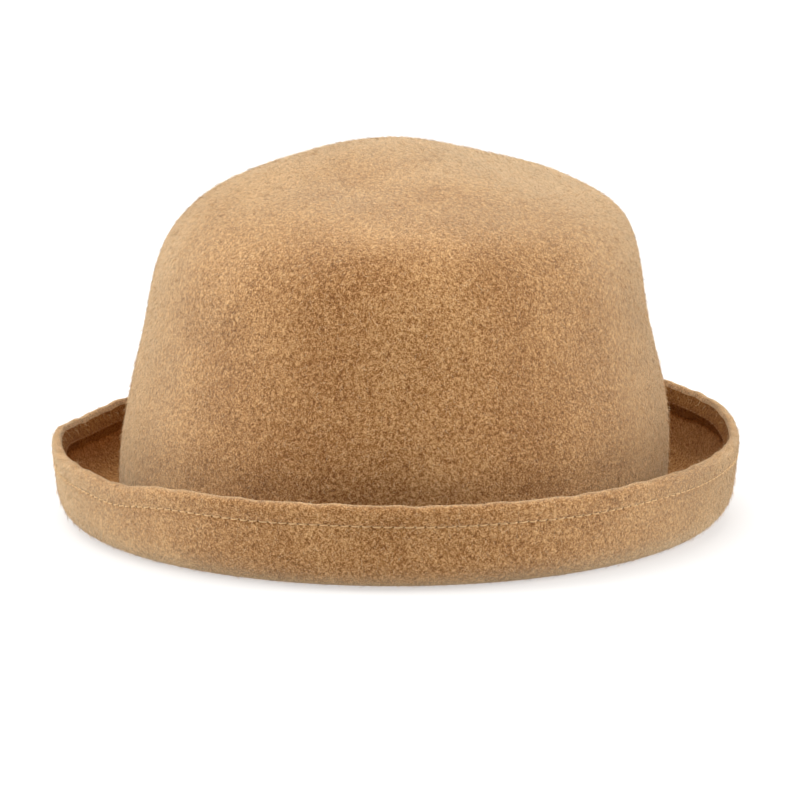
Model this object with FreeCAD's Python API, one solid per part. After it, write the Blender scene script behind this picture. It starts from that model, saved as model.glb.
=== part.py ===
"""Wool-felt bowler hat: blocked felt body, wired and hemmed brim, ribbon sweatband, bow and labels.

Units are millimetres. +Z is up, the wearer faces -Y and +X is the viewer's right from the front.
The origin is under the middle of the hat, on the plane that the brim rests on.
Every level of the hat is an oval ring with half-width a along X and half-length b along Y.
A section is drawn as (shift, a, z), where shift moves the ring's middle along X.
"""
import FreeCAD, Part
import math
import os

from FreeCAD import Matrix, Placement, Vector

# ---- driving dimensions -------------------------------------------------------------------------
CROWN_A = 85.2             # half-width of the crown's foot, outside
OVAL_LENGTH_RATIO = 1.197  # crown length over crown width, at every level
FELT_T = 1.8               # felt thickness
CROWN_HEIGHT = 116.5       # top of the crown above the resting plane
CROWN_WALL_Z = 12.0        # the crown's wall is upright up to here

GUTTER_R = 3.5             # fillet between the crown's foot and the brim's upper face
FLAT_REACH = 9.5           # overhang at which the flat underside starts to curl up
CURL_R = 11.0              # radius of the curl, on the underside
WALL_LEAN = math.radians(6.5)  # outward lean of the upturned wall
WALL_LENGTH = 14.2         # end of the curl to the middle of the rim bead

WIRE_D = 0.9               # spring-steel brim wire
WIRE_SIDES = 16            # the wire's section is drawn with this many flats
WIRE_GAP = 1.5             # between the wire's two ends, inside the joiner
JOINER_D = 1.5             # crimped brass tube that joins the wire's ends
JOINER_BORE_D = 1.0
JOINER_LENGTH = 22.0
CHANNEL_R = 0.8            # space that the fold leaves for the wire
FOLD_T = 1.35              # felt is pressed thinner where it folds
HEM_GAP = 0.3              # between the two layers of the hem
HEM_DEPTH = 9.0            # rim top to the raw edge of the turned-in hem
STITCH_DEPTH = 6.0         # rim top to the line of stitches

THREAD_D = 0.4
THREAD_SIDES = 6           # the thread's section is drawn with this many flats
STITCH_RISE = 0.28         # how far a stitch's middle stands off the cloth
STITCH_DIP = 0.35          # how deep its ends go into the cloth
HEM_PITCH = 3.2            # one hem stitch to the next
BAND_PITCH = 4.0           # one sweatband stitch to the next
STITCH_FILL = 0.86         # stitch length over its pitch

BAND_T = 0.6               # grosgrain ribbon
BAND_FOOT_Z = 4.0
BAND_HEIGHT = 30.0
BAND_GAP = 0.4             # ribbon to felt
BAND_TOP_IN = 2.0          # how far the ribbon's top leans in with the crown
BAND_TOP_SHIFT = 0.4
BAND_LAP = 14.0            # overlap of the ribbon's ends at the back
LAP_STEP = 0.8             # how far the upper lap stands in from the lower one
BAND_SEAM_Z = 6.8          # height of the seam that holds the ribbon
CROWN_SEAM_Z = 7.4         # height of the same seam on the crown's outside
LAP_STITCHES = 6           # upright row through the lap
LAP_ROW_MARGIN = 3.0       # ribbon's edge to the end of that row
LAP_ROW_IN = 2.0           # ribbon's end to that row

BOW_RIBBON_W = 10.0
BOW_RIBBON_T = 0.35
BOW_Z = 20.0               # height of the bow's middle
BOW_REACH = 14.0           # middle of the bow to the middle of a loop's end
BOW_LOOP_R = 2.3           # radius of a loop's end
BOW_NECK_R = 0.7           # radius where a loop enters the knot
BOW_TAIL = 14.0
BOW_TAIL_TURN = 26.0       # degrees from straight down
BOW_TAIL_W = 8.0
BOW_NECK_H = 5.0           # height of the ribbon gathered inside the knot
KNOT_W = 5.0
KNOT_T = 0.45
KNOT_GAP = 0.1
BOW_STANDOFF = 1.0         # clears the lapped ribbon

LABEL_CLEAR = 0.2
SIZE_LABEL_W = 14.0
SIZE_LABEL_H = 12.0
SIZE_LABEL_T = 0.3
SIZE_LABEL_UP = 1.5        # seam to the label's lower edge
SIZE_LABEL_AT = math.radians(128)
CARE_LABEL_W = 22.0
CARE_LABEL_T = 0.12
CARE_LABEL_FOOT_Z = 8.0
CARE_LABEL_TOP_Z = 50.0
CARE_LABEL_TOP_IN = 2.7    # how far its top leans in past the ribbon's line
CARE_LABEL_AT = math.radians(58)

# Crown outline: height, half-width on the -X side, half-width on the +X side.
# The +X shoulder is crisper and stands a little further out than the -X one.
CROWN_OUTLINE = (
    (30.0, 83.5, 85.2),
    (62.0, 76.7, 78.9),
    (88.0, 69.0, 73.6),
    (96.0, 62.0, 68.0),
    (102.0, 53.0, 57.5),
    (109.5, 34.0, 34.5),
    (113.4, 21.5, 21.0),
)

# ---- derived dimensions -------------------------------------------------------------------------
INNER_A = CROWN_A - FELT_T
OVAL_EXTRA = CROWN_A * (OVAL_LENGTH_RATIO - 1)    # b - a of every brim ring
BAND_EXTRA = INNER_A * (OVAL_LENGTH_RATIO - 1)    # b - a of every sweatband ring
CROWN_FOOT_Z = FELT_T + GUTTER_R
BREAK_R = GUTTER_R + FELT_T
CURL_A = CROWN_A + FLAT_REACH                     # middle of the curl
RIM_R = CHANNEL_R + FOLD_T                        # radius of the rim bead
HEM_INNER = FELT_T + HEM_GAP                      # outer face to the hem's hidden face
HEM_BACK = HEM_INNER + FELT_T                     # outer face to the hem's gutter face
HEM_EDGE_S = WALL_LENGTH + RIM_R - HEM_DEPTH      # raw edge, measured up the wall
STITCH_S = WALL_LENGTH + RIM_R - STITCH_DEPTH     # stitch line, measured up the wall
BAND_TOP_Z = BAND_FOOT_Z + BAND_HEIGHT
BOW_NECK_DEPTH = BOW_RIBBON_T + 2 * BOW_NECK_R
TURN = 2 * math.pi
BACK = math.pi / 2                                # direction of +Y, where the ribbon's ends meet
PATH_STEPS = 48
OVAL_STEPS = 7200                                 # pieces in which an oval's length is added up
SEW_TOLERANCE = 1e-4
FLAT_WITH_HOLE = "Part::FaceMakerBullseye"        # makes a flat face of an outline and its hole


# ---- rings, sections and surfaces ---------------------------------------------------------------
def brim_length(a):
    """Half-length of a brim ring: the overhang is the same all round."""
    return a + OVAL_EXTRA


def crown_length(a):
    """Half-length of a crown ring: it shrinks in proportion towards the top."""
    return a * OVAL_LENGTH_RATIO


def break_length(a):
    """Half-length of a ring in the bend between the crown's inside and the brim's underside."""
    share = (a - INNER_A) / BREAK_R
    return crown_length(INNER_A) * (1 - share) + brim_length(INNER_A + BREAK_R) * share


def band_length(a):
    """Half-length of a sweatband ring, parallel to the crown's inside."""
    return a + BAND_EXTRA


def turn_path():
    """Closed unit circle that starts at the back, as a smooth periodic curve."""
    angles = [BACK + TURN * i / PATH_STEPS for i in range(PATH_STEPS)]
    curve = Part.BSplineCurve()
    curve.interpolate(Points=[Vector(math.cos(t), math.sin(t), 0) for t in angles], PeriodicFlag=True)
    return curve


def arc_path(start, end, reach=lambda angle: 1.0):
    """Open stretch of the unit circle; reach(angle) may pull it in along its way."""
    steps = max(6, int(1.5 * PATH_STEPS * (end - start) / TURN))
    angles = [start + (end - start) * i / steps for i in range(steps + 1)]
    curve = Part.BSplineCurve()
    curve.interpolate(Points=[Vector(math.cos(t), math.sin(t), 0) * reach(t) for t in angles])
    return curve


def line(first, last):
    """Straight piece of a section."""
    curve = Part.BSplineCurve()
    curve.buildFromPolesMultsKnots([first, last], [2, 2], [0.0, 1.0], False, 1)
    return curve


def smooth(points, first, last):
    """Smooth piece of a section through points, leaving along first and arriving along last."""
    curve = Part.BSplineCurve()
    curve.interpolate(Points=points, InitialTangent=first, FinalTangent=last)
    return curve


def arc(middle, radius, start, end, steps=10):
    """Round piece of a section, angles in radians from +a towards +z."""
    angles = [start + (end - start) * i / steps for i in range(steps + 1)]
    way = 1 if end > start else -1
    points = [middle + Vector(0, math.cos(t), math.sin(t)) * radius for t in angles]
    ends = [Vector(0, -math.sin(t), math.cos(t)) * (way * radius) for t in (start, end)]
    return smooth(points, ends[0], ends[1])


def polygon(middle, radius, sides):
    """Corners of a regular polygon as a section, for a thin wire."""
    angles = [TURN * i / sides for i in range(sides)]
    return [middle + Vector(0, math.cos(t), math.sin(t)) * radius for t in angles]


def round_section(middle, radius, steps=12):
    """Whole circle as a section, for a tube."""
    angles = [TURN * i / steps for i in range(steps)]
    points = [middle + Vector(0, math.cos(t), math.sin(t)) * radius for t in angles]
    curve = Part.BSplineCurve()
    curve.interpolate(Points=points, PeriodicFlag=True)
    return curve


def ring_surface(path, section, length):
    """Surface that carries a section along a path round the oval."""
    rows = []
    for turn in path.getPoles():
        rows.append([Vector(p.x + p.y * turn.x, length(p.y) * turn.y, p.z) for p in section.getPoles()])
    surface = Part.BSplineSurface()
    surface.buildFromPolesMultsKnots(
        rows, path.getMultiplicities(), section.getMultiplicities(), path.getKnots(),
        section.getKnots(), path.isPeriodic(), section.isPeriodic(), path.Degree, section.Degree)
    return surface


def ring_wire(path, point, length):
    """Ring that one point of a section draws round the oval."""
    curve = Part.BSplineCurve()
    poles = [Vector(point.x + point.y * turn.x, length(point.y) * turn.y, point.z)
             for turn in path.getPoles()]
    curve.buildFromPolesMultsKnots(
        poles, path.getMultiplicities(), path.getKnots(), path.isPeriodic(), path.Degree)
    return Part.Wire(curve.toShape())


def end_wire(surfaces, at_end):
    """Outline of a strip's or tube's end, from the ends of its surfaces."""
    edges = []
    for surface in surfaces:
        low, high = surface.bounds()[0:2]
        edges.append(surface.uIso(high if at_end else low).toShape())
    return Part.Wire(Part.__sortEdges__(edges))


def solid_from(faces):
    """Sew faces that meet edge to edge into one closed solid that points outwards."""
    skin = Part.Compound(faces)
    skin.sewShape(SEW_TOLERANCE)
    solid = Part.Solid(Part.Shell(skin.Faces))
    if solid.Volume < 0:
        solid.reverse()
    if not solid.isValid():
        raise RuntimeError("a sewn solid is not valid")
    return solid


def strip_solid(path, corners, length):
    """Closed solid of a cornered section carried along an open path."""
    sides = [line(corners[i - 1], corners[i]) for i in range(len(corners))]
    surfaces = [ring_surface(path, side, length) for side in sides]
    caps = [Part.Face(end_wire(surfaces, at_end)) for at_end in (False, True)]
    return solid_from([surface.toShape() for surface in surfaces] + caps)


def save(name, shape):
    """Write one sub-part and report its solids and volume."""
    shape.exportStep("parts/" + name + ".step")
    print("%-28s solids %4d   volume %10.1f" % (name, len(shape.Solids), shape.Volume))


# ---- felt body ----------------------------------------------------------------------------------
def wall_point(up, inset):
    """Point of the upturned wall: up from the end of the curl, inset from its outer face."""
    a = CURL_A + (CURL_R - inset) * math.cos(WALL_LEAN) + up * math.sin(WALL_LEAN)
    z = CURL_R - (CURL_R - inset) * math.sin(WALL_LEAN) + up * math.cos(WALL_LEAN)
    return Vector(0, a, z)


def crown_outside():
    """Outside of the crown from its foot to the apex."""
    points = [Vector(0, CROWN_A, CROWN_FOOT_Z), Vector(0, CROWN_A, CROWN_WALL_Z)]
    for z, left, right in CROWN_OUTLINE:
        points.append(Vector((right - left) / 2, (right + left) / 2, z))
    points.append(Vector(0, 0, CROWN_HEIGHT))
    return smooth(points, Vector(0, 0, 1), Vector(0, -1, 0))


def crown_inside(outside, steps=16):
    """Inside of the crown, a felt's thickness in from the outside."""
    low, high = outside.FirstParameter, outside.LastParameter
    points = []
    for i in range(steps):
        at = low + (high - low) * i / steps
        place = outside.value(at)
        along = outside.tangent(at)[0]
        run = math.hypot(along.y, along.z)
        inward = Vector(0, -along.z, along.y) * (FELT_T / run)
        points.append(place + inward)
    points.append(Vector(0, 0, CROWN_HEIGHT - FELT_T))
    return smooth(points, Vector(0, 0, 1), Vector(0, -1, 0))


def build_felt_body():
    """Crown, brim and turned-in hem in one felt, with the wire's channel open inside the fold."""
    loop = turn_path()
    outside = crown_outside()
    bead = wall_point(WALL_LENGTH, RIM_R)
    curl = Vector(0, CURL_A, CURL_R)
    foot = Vector(0, CROWN_A + GUTTER_R, CROWN_FOOT_Z)
    quarter = math.pi / 2
    up_wall = Vector(0, math.sin(WALL_LEAN), math.cos(WALL_LEAN))

    # Where the hem's two faces run into the wire's channel.
    drops = [math.sqrt(CHANNEL_R ** 2 - (RIM_R - inset) ** 2) for inset in (FELT_T, HEM_INNER)]
    outer_mouth = wall_point(WALL_LENGTH - drops[0], FELT_T)
    hem_mouth = wall_point(WALL_LENGTH - drops[1], HEM_INNER)
    to_outer = math.atan2(outer_mouth.z - bead.z, outer_mouth.y - bead.y)
    to_hem = math.atan2(hem_mouth.z - bead.z, hem_mouth.y - bead.y)

    hem_edge = wall_point(HEM_EDGE_S, HEM_INNER)
    hem_corner = wall_point(HEM_EDGE_S, HEM_BACK)
    hem_stitch = wall_point(STITCH_S, HEM_BACK)
    bead_back = wall_point(WALL_LENGTH, 2 * RIM_R)
    bead_front = wall_point(WALL_LENGTH, 0)

    pieces = [
        (outside, crown_length),
        (crown_inside(outside), crown_length),
        (arc(foot, GUTTER_R, 2 * quarter, 3 * quarter), brim_length),
        (line(Vector(0, foot.y, FELT_T), Vector(0, CURL_A, FELT_T)), brim_length),
        (arc(curl, CURL_R - FELT_T, -quarter, -WALL_LEAN), brim_length),
        (line(wall_point(0, FELT_T), outer_mouth), brim_length),
        (arc(bead, CHANNEL_R, to_outer, to_hem + TURN, 20), brim_length),
        (line(hem_mouth, hem_edge), brim_length),
        (line(hem_edge, hem_corner), brim_length),
        (smooth([hem_corner, hem_stitch, bead_back], up_wall, up_wall), brim_length),
        (arc(bead, RIM_R, 2 * quarter - WALL_LEAN, -WALL_LEAN, 14), brim_length),
        (line(bead_front, wall_point(0, 0)), brim_length),
        (arc(curl, CURL_R, -WALL_LEAN, -quarter), brim_length),
        (arc(foot, BREAK_R, 3 * quarter, 2 * quarter), break_length),
    ]
    faces = [ring_surface(loop, section, length).toShape() for section, length in pieces]
    rest_rings = [ring_wire(loop, Vector(0, a, 0), brim_length) for a in (CURL_A, foot.y)]
    faces.append(Part.makeFace(rest_rings, FLAT_WITH_HOLE))
    return solid_from(faces)


# ---- brim wire ----------------------------------------------------------------------------------
def rim_angle(distance):
    """Angle that a distance along the rim takes up at the back."""
    return distance / wall_point(WALL_LENGTH, RIM_R).y


def build_brim_wire():
    """Steel wire round the rim, its two ends facing each other at the back."""
    middle = wall_point(WALL_LENGTH, RIM_R)
    half = rim_angle(WIRE_GAP / 2)
    path = arc_path(BACK + half, BACK + TURN - half)
    return strip_solid(path, polygon(middle, WIRE_D / 2, WIRE_SIDES), brim_length)


def build_wire_joiner():
    """Brass tube over both ends of the wire."""
    middle = wall_point(WALL_LENGTH, RIM_R)
    half = rim_angle(JOINER_LENGTH / 2)
    path = arc_path(BACK - half, BACK + half)
    skins = [ring_surface(path, round_section(middle, d / 2), brim_length)
             for d in (JOINER_D, JOINER_BORE_D)]
    caps = [Part.makeFace([end_wire([skin], at_end) for skin in skins], FLAT_WITH_HOLE)
            for at_end in (False, True)]
    return solid_from([skin.toShape() for skin in skins] + caps)


# ---- stitches -----------------------------------------------------------------------------------
def oval_lengths(a, b):
    """Length along the oval up to the end of each of its small steps."""
    reached = [0.0]
    for i in range(OVAL_STEPS):
        t = TURN * (i + 0.5) / OVAL_STEPS
        reached.append(reached[-1] + math.hypot(a * math.sin(t), b * math.cos(t)) * TURN / OVAL_STEPS)
    return reached


def stitch_count(point, length, pitch):
    """How many stitches of about that pitch go round the oval."""
    return round(oval_lengths(point.y, length(point.y))[-1] / pitch)


def even_angles(a, b, count):
    """Angles that are evenly spaced along the oval, and the spacing that comes out."""
    reached = oval_lengths(a, b)
    angles = []
    at = 0
    for i in range(count):
        while reached[at + 1] < reached[-1] * i / count:
            at += 1
        angles.append(TURN * at / OVAL_STEPS)
    return angles, reached[-1] / count


def stitch_solid(length):
    """One stitch in its own frame: it runs along X, and the cloth's face is the plane z = 0."""
    sagitta = STITCH_RISE + STITCH_DIP
    half = length / 2
    radius = (half ** 2 + sagitta ** 2) / (2 * sagitta)
    spread = math.asin(half / radius)
    middle = Vector(0, 0, STITCH_RISE - radius)
    start = middle + Vector(-math.sin(spread), 0, math.cos(spread)) * radius
    heading = Vector(math.cos(spread), 0, math.sin(spread))
    outwards = start - middle
    outwards.normalize()
    corners = []
    for i in range(THREAD_SIDES + 1):
        t = TURN * i / THREAD_SIDES
        way = outwards * math.cos(t) + heading.cross(outwards) * math.sin(t)
        corners.append(start + way * (THREAD_D / 2))
    section = Part.Face(Part.makePolygon(corners))
    return section.revolve(middle, Vector(0, 1, 0), math.degrees(2 * spread))


def placed(shape, origin, along, out):
    """Copy of a stitch, turned to run along one direction and stand out along another."""
    side = out.cross(along)
    copy = shape.copy()
    copy.Placement = Placement(Matrix(
        along.x, side.x, out.x, origin.x,
        along.y, side.y, out.y, origin.y,
        along.z, side.z, out.z, origin.z,
        0, 0, 0, 1))
    return copy


def stitch_ring(point, length, count, lean, facing):
    """Stitches round the oval on a face; facing is +1 away from the middle and -1 towards it."""
    b = length(point.y)
    angles, spacing = even_angles(point.y, b, count)
    stitch = stitch_solid(spacing * STITCH_FILL)
    stitches = []
    for t in angles:
        along = Vector(-point.y * math.sin(t), b * math.cos(t), 0).normalize()
        level = along.cross(Vector(0, 0, 1)) * (facing * math.cos(lean))
        out = level - Vector(0, 0, facing * math.sin(lean))
        origin = Vector(point.x + point.y * math.cos(t), b * math.sin(t), point.z)
        stitches.append(placed(stitch, origin, along, out))
    return Part.Compound(stitches)


# ---- sweatband ----------------------------------------------------------------------------------
def band_point(z, inset):
    """Point of the sweatband's section at a height, inset from its face against the felt."""
    share = (z - BAND_FOOT_Z) / BAND_HEIGHT
    a = INNER_A - BAND_GAP - BAND_TOP_IN * share - inset
    return Vector(BAND_TOP_SHIFT * share, a, z)


def lap_reach(angle):
    """The ribbon's last stretch steps in over its first one."""
    lap = BAND_LAP / INNER_A
    past = (angle - (BACK + TURN - lap)) / lap
    share = min(1.0, max(0.0, past))
    return 1.0 - LAP_STEP / INNER_A * share * share * (3 - 2 * share)


def build_sweatband():
    """Ribbon sewn round the inside of the opening, its ends lapped at the back."""
    half = BAND_LAP / 2 / INNER_A
    path = arc_path(BACK - half, BACK + TURN + half, lap_reach)
    corners = [band_point(BAND_FOOT_Z, 0), band_point(BAND_TOP_Z, 0),
               band_point(BAND_TOP_Z, BAND_T), band_point(BAND_FOOT_Z, BAND_T)]
    return strip_solid(path, corners, band_length)


def build_joint_stitches():
    """Upright row of stitches that closes the ribbon's lap."""
    t = BACK + (BAND_LAP / 2 - LAP_ROW_IN) / INNER_A
    pitch = (BAND_HEIGHT - 2 * LAP_ROW_MARGIN) / LAP_STITCHES
    stitch = stitch_solid(pitch * STITCH_FILL)
    stitches = []
    for i in range(LAP_STITCHES):
        point = band_point(BAND_FOOT_Z + LAP_ROW_MARGIN + pitch * (i + 0.5), BAND_T + LAP_STEP)
        b = band_length(point.y)
        origin = Vector(point.x + point.y * math.cos(t), b * math.sin(t), point.z)
        out = Vector(-b * math.cos(t), -point.y * math.sin(t), 0).normalize()
        stitches.append(placed(stitch, origin, Vector(0, 0, 1), out))
    return Part.Compound(stitches)


# ---- bow ----------------------------------------------------------------------------------------
def loop_outline(near, near_r, far, far_r):
    """Outline round two circles, the shape of a soft ribbon loop seen from above."""
    way = far - near
    distance = way.Length
    heading = math.atan2(way.y, way.x)
    flare = math.asin((far_r - near_r) / distance)
    side = [heading + math.pi / 2 + flare, heading - math.pi / 2 - flare]

    def on(middle, radius, angle):
        return middle + Vector(math.cos(angle), math.sin(angle), 0) * radius

    tip = Part.Arc(on(far, far_r, side[0]), on(far, far_r, heading), on(far, far_r, side[1]))
    neck = Part.Arc(on(near, near_r, side[1]), on(near, near_r, heading + math.pi),
                    on(near, near_r, side[0]))
    upper = Part.LineSegment(on(near, near_r, side[0]), on(far, far_r, side[0]))
    lower = Part.LineSegment(on(far, far_r, side[1]), on(near, near_r, side[1]))
    return Part.Wire([upper.toShape(), tip.toShape(), lower.toShape(), neck.toShape()])


def bow_back():
    """Y of the bow's back, clear of the lapped ribbon and its stitches."""
    point = band_point(BOW_Z + BOW_RIBBON_W / 2, BAND_T + LAP_STEP)
    return band_length(point.y) - BOW_STANDOFF


def centred_box(width, depth, height, back):
    """Box behind which the bow's plane lies, centred on the knot in width and height."""
    return Part.makeBox(width, depth, height, Vector(-width / 2, back - depth, BOW_Z - height / 2))


def knot_wrap(clear):
    """Ring of ribbon round the bow's neck; clear grows it outwards and narrows its opening."""
    depth = BOW_NECK_DEPTH + 2 * KNOT_GAP
    height = BOW_NECK_H + 2 * KNOT_GAP
    back = bow_back() + KNOT_GAP
    around = KNOT_T + clear
    outside = centred_box(KNOT_W + 2 * clear, depth + 2 * around, height + 2 * around, back + around)
    opening = centred_box(KNOT_W + 2, depth - 2 * clear, height - 2 * clear, back - clear)
    return outside, opening


def build_bow_loops():
    """One ribbon folded into two loops and two tails, gathered where the knot holds it."""
    back = bow_back()
    loop_back = back - BOW_RIBBON_T
    oval_bend = BOW_REACH ** 2 * band_length(INNER_A) / (2 * INNER_A ** 2)
    foot_z = BOW_Z - BOW_RIBBON_W / 2
    pieces = [centred_box(KNOT_W, BOW_NECK_DEPTH, BOW_NECK_H, back)]
    for side in (-1, 1):
        near = Vector(side * KNOT_W / 2, loop_back - BOW_NECK_R, foot_z)
        far = Vector(side * BOW_REACH, loop_back - BOW_LOOP_R - oval_bend - BOW_STANDOFF, foot_z)
        outer = Part.Face(loop_outline(near, BOW_NECK_R, far, BOW_LOOP_R))
        inner = Part.Face(loop_outline(near, BOW_NECK_R - BOW_RIBBON_T, far, BOW_LOOP_R - BOW_RIBBON_T))
        pieces.append(outer.cut(inner).extrude(Vector(0, 0, BOW_RIBBON_W)).common(loop_envelope(side)))
        tail = centred_box(BOW_TAIL_W, BOW_RIBBON_T, 2 * BOW_TAIL, back if side > 0 else loop_back)
        tail.rotate(Vector(0, 0, BOW_Z), Vector(0, 1, 0), -side * BOW_TAIL_TURN)
        below = centred_box(4 * BOW_TAIL, 4 * BOW_TAIL, 4 * BOW_TAIL, back + 2 * BOW_TAIL)
        below.translate(Vector(0, 0, -2 * BOW_TAIL))
        pieces.append(tail.common(below))
    outside, opening = knot_wrap(KNOT_GAP / 2)
    return pieces[0].multiFuse(pieces[1:]).cut(outside.cut(opening)).removeSplitter()


def loop_envelope(side):
    """Space that one loop keeps to: narrow at the knot and full width further out."""
    start = KNOT_W / 2 - BOW_NECK_R
    spread = start + BOW_RIBBON_W / 2
    reach = BOW_REACH + BOW_LOOP_R + 1
    neck = BOW_NECK_H / 2
    full = BOW_RIBBON_W / 2
    points = [(start, neck), (spread, full), (reach, full), (reach, -full), (spread, -full), (start, -neck)]
    depth = 4 * BOW_LOOP_R
    corners = [Vector(side * x, bow_back() - depth, BOW_Z + z) for x, z in points]
    return Part.Face(Part.makePolygon(corners + corners[:1])).extrude(Vector(0, depth, 0))


def build_bow_knot():
    """Short piece of ribbon wrapped round the gathered middle."""
    outside, opening = knot_wrap(0)
    long_edges = [edge for edge in outside.Edges if abs(edge.tangentAt(edge.FirstParameter).x) > 0.9]
    return outside.makeFillet(KNOT_T, long_edges).cut(opening)


# ---- labels -------------------------------------------------------------------------------------
def label_path(width, at):
    """Stretch of the oval that a label covers."""
    half = width / 2 / INNER_A
    return arc_path(at - half, at + half)


def build_size_label():
    """Blank woven label on the ribbon's inner face, held by the ribbon's seam."""
    low = BAND_SEAM_Z + SIZE_LABEL_UP
    high = low + SIZE_LABEL_H
    near = BAND_T + LABEL_CLEAR
    far = near + SIZE_LABEL_T
    corners = [band_point(low, near), band_point(high, near), band_point(high, far), band_point(low, far)]
    return strip_solid(label_path(SIZE_LABEL_W, SIZE_LABEL_AT), corners, band_length)


def build_care_label():
    """Blank satin label caught behind the ribbon, which stands up above it against the crown."""
    outer = [band_point(CARE_LABEL_FOOT_Z, -LABEL_CLEAR), band_point(BAND_TOP_Z, -LABEL_CLEAR),
             band_point(CARE_LABEL_TOP_Z, CARE_LABEL_TOP_IN)]
    inner = [point - Vector(0, CARE_LABEL_T, 0) for point in outer]
    return strip_solid(label_path(CARE_LABEL_W, CARE_LABEL_AT), outer + inner[::-1], band_length)


if __name__ == "__main__":
    os.makedirs("parts", exist_ok=True)
    felt_face = wall_point(STITCH_S, 0)
    hem_face = wall_point(STITCH_S, HEM_BACK)
    band_face = band_point(BAND_SEAM_Z, BAND_T)
    crown_face = Vector(0, CROWN_A, CROWN_SEAM_Z)
    hem_count = stitch_count(felt_face, brim_length, HEM_PITCH)
    band_count = stitch_count(band_face, band_length, BAND_PITCH)

    save("felt_body", build_felt_body())
    save("brim_wire", build_brim_wire())
    save("wire_joiner", build_wire_joiner())
    save("hem_needle_stitches", stitch_ring(felt_face, brim_length, hem_count, WALL_LEAN, 1))
    save("hem_bobbin_stitches", stitch_ring(hem_face, brim_length, hem_count, WALL_LEAN, -1))
    save("sweatband", build_sweatband())
    save("sweatband_needle_stitches", stitch_ring(band_face, band_length, band_count, 0, -1))
    save("sweatband_bobbin_stitches", stitch_ring(crown_face, crown_length, band_count, 0, 1))
    save("sweatband_joint_stitches", build_joint_stitches())
    save("bow_loops", build_bow_loops())
    save("bow_knot", build_bow_knot())
    save("size_label", build_size_label())
    save("care_label", build_care_label())
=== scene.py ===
"""Looks of a wool-felt bowler hat: blocked felt and its nap, wired hem, sweatband, bow and labels.

Lengths are in millimetres unless a name says otherwise; meshes are written in metres.
The wearer faces -Y, +X is the viewer's right from the front, and the hat stands on z = 0.
Every level of the hat is an oval ring with half-width a along X and half-length b along Y.
"""
from __future__ import annotations

import logging
import math
from dataclasses import dataclass, replace
from enum import Enum
from typing import Any, Callable, Sequence

import bpy
import numpy as np
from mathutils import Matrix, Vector


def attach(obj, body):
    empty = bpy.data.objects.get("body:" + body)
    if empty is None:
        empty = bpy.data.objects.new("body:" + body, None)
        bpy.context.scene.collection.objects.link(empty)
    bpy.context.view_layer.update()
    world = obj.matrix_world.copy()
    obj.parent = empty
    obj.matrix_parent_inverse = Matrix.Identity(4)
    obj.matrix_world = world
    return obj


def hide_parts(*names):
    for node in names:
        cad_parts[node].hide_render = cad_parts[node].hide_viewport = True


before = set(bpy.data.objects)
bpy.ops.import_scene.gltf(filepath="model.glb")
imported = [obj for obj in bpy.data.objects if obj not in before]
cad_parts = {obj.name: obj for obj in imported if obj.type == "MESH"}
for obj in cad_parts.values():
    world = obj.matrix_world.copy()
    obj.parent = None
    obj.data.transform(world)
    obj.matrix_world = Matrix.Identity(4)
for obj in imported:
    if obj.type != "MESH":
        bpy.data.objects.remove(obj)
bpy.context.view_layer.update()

LOG = logging.getLogger("bowler_hat")
MM = 0.001
TURN = 2 * math.pi
QUARTER = math.pi / 2
BACK = QUARTER             # direction of +Y, where ribbon ends and wire ends meet
BODY = "root"

Array = np.ndarray
Place = Callable[[Array, Array], Array]


# ---- helpers for shapes -------------------------------------------------------------------------
def smoothstep(low: float, high: float, value: Array) -> Array:
    """Ease from 0 at low to 1 at high."""
    share = np.clip((np.asarray(value, float) - low) / (high - low), 0, 1)
    return share * share * (3 - 2 * share)


def soft_noise(points: Array, size: float, seed: int, waves: int = 16) -> Array:
    """Smooth random field about 0 with a spread of about 1, the same on every run.

    Args:
        points: places to read it at, one row each.
        size: usual length of one swell, in the unit of points.
        seed: picks the field.
        waves: how many plane waves are added up.

    Returns:
        One value per row of points.
    """
    draw = np.random.default_rng(seed)
    ways = draw.normal(size=(waves, points.shape[1]))
    ways /= np.linalg.norm(ways, axis=1, keepdims=True)
    steps = ways * (TURN / size) * draw.uniform(0.6, 1.4, (waves, 1))
    return np.sin(points @ steps.T + draw.uniform(0, TURN, waves)).sum(1) / math.sqrt(waves / 2)


def spline_through(points: Sequence[Sequence[float]], first: Sequence[float], last: Sequence[float],
                   count: int) -> Array:
    """Smooth curve through points, with its directions at both ends given.

    Args:
        points: places that the curve passes.
        first: unit direction in which it leaves the first point.
        last: unit direction in which it arrives at the last point.
        count: number of places to read off, evenly spaced.

    Returns:
        Places on the curve, one row each.
    """
    knots = np.array(points, float)
    way = np.r_[0, np.cumsum(np.linalg.norm(np.diff(knots, axis=0), axis=1))]
    gap = np.diff(way)
    system = np.eye(len(knots))
    right = np.zeros_like(knots)
    right[0], right[-1] = first, last
    for i in range(1, len(knots) - 1):
        system[i, i - 1:i + 2] = gap[i], 2 * (gap[i - 1] + gap[i]), gap[i - 1]
        right[i] = 3 * (gap[i] * (knots[i] - knots[i - 1]) / gap[i - 1]
                        + gap[i - 1] * (knots[i + 1] - knots[i]) / gap[i])
    slopes = np.linalg.solve(system, right)
    at = np.linspace(0, way[-1], count)
    i = np.clip(np.searchsorted(way, at, side="right") - 1, 0, len(gap) - 1)
    h = gap[i][:, None]
    t = (at[:, None] - way[i][:, None]) / h
    return (knots[i] * (2 * t ** 3 - 3 * t ** 2 + 1) + knots[i + 1] * (3 * t ** 2 - 2 * t ** 3)
            + slopes[i] * h * (t ** 3 - 2 * t ** 2 + t) + slopes[i + 1] * h * (t ** 3 - t ** 2))


def straight(start: Sequence[float], end: Sequence[float], count: int) -> Array:
    """Evenly spaced places from start to end, both included."""
    return np.linspace(np.array(start, float), np.array(end, float), count)


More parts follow.
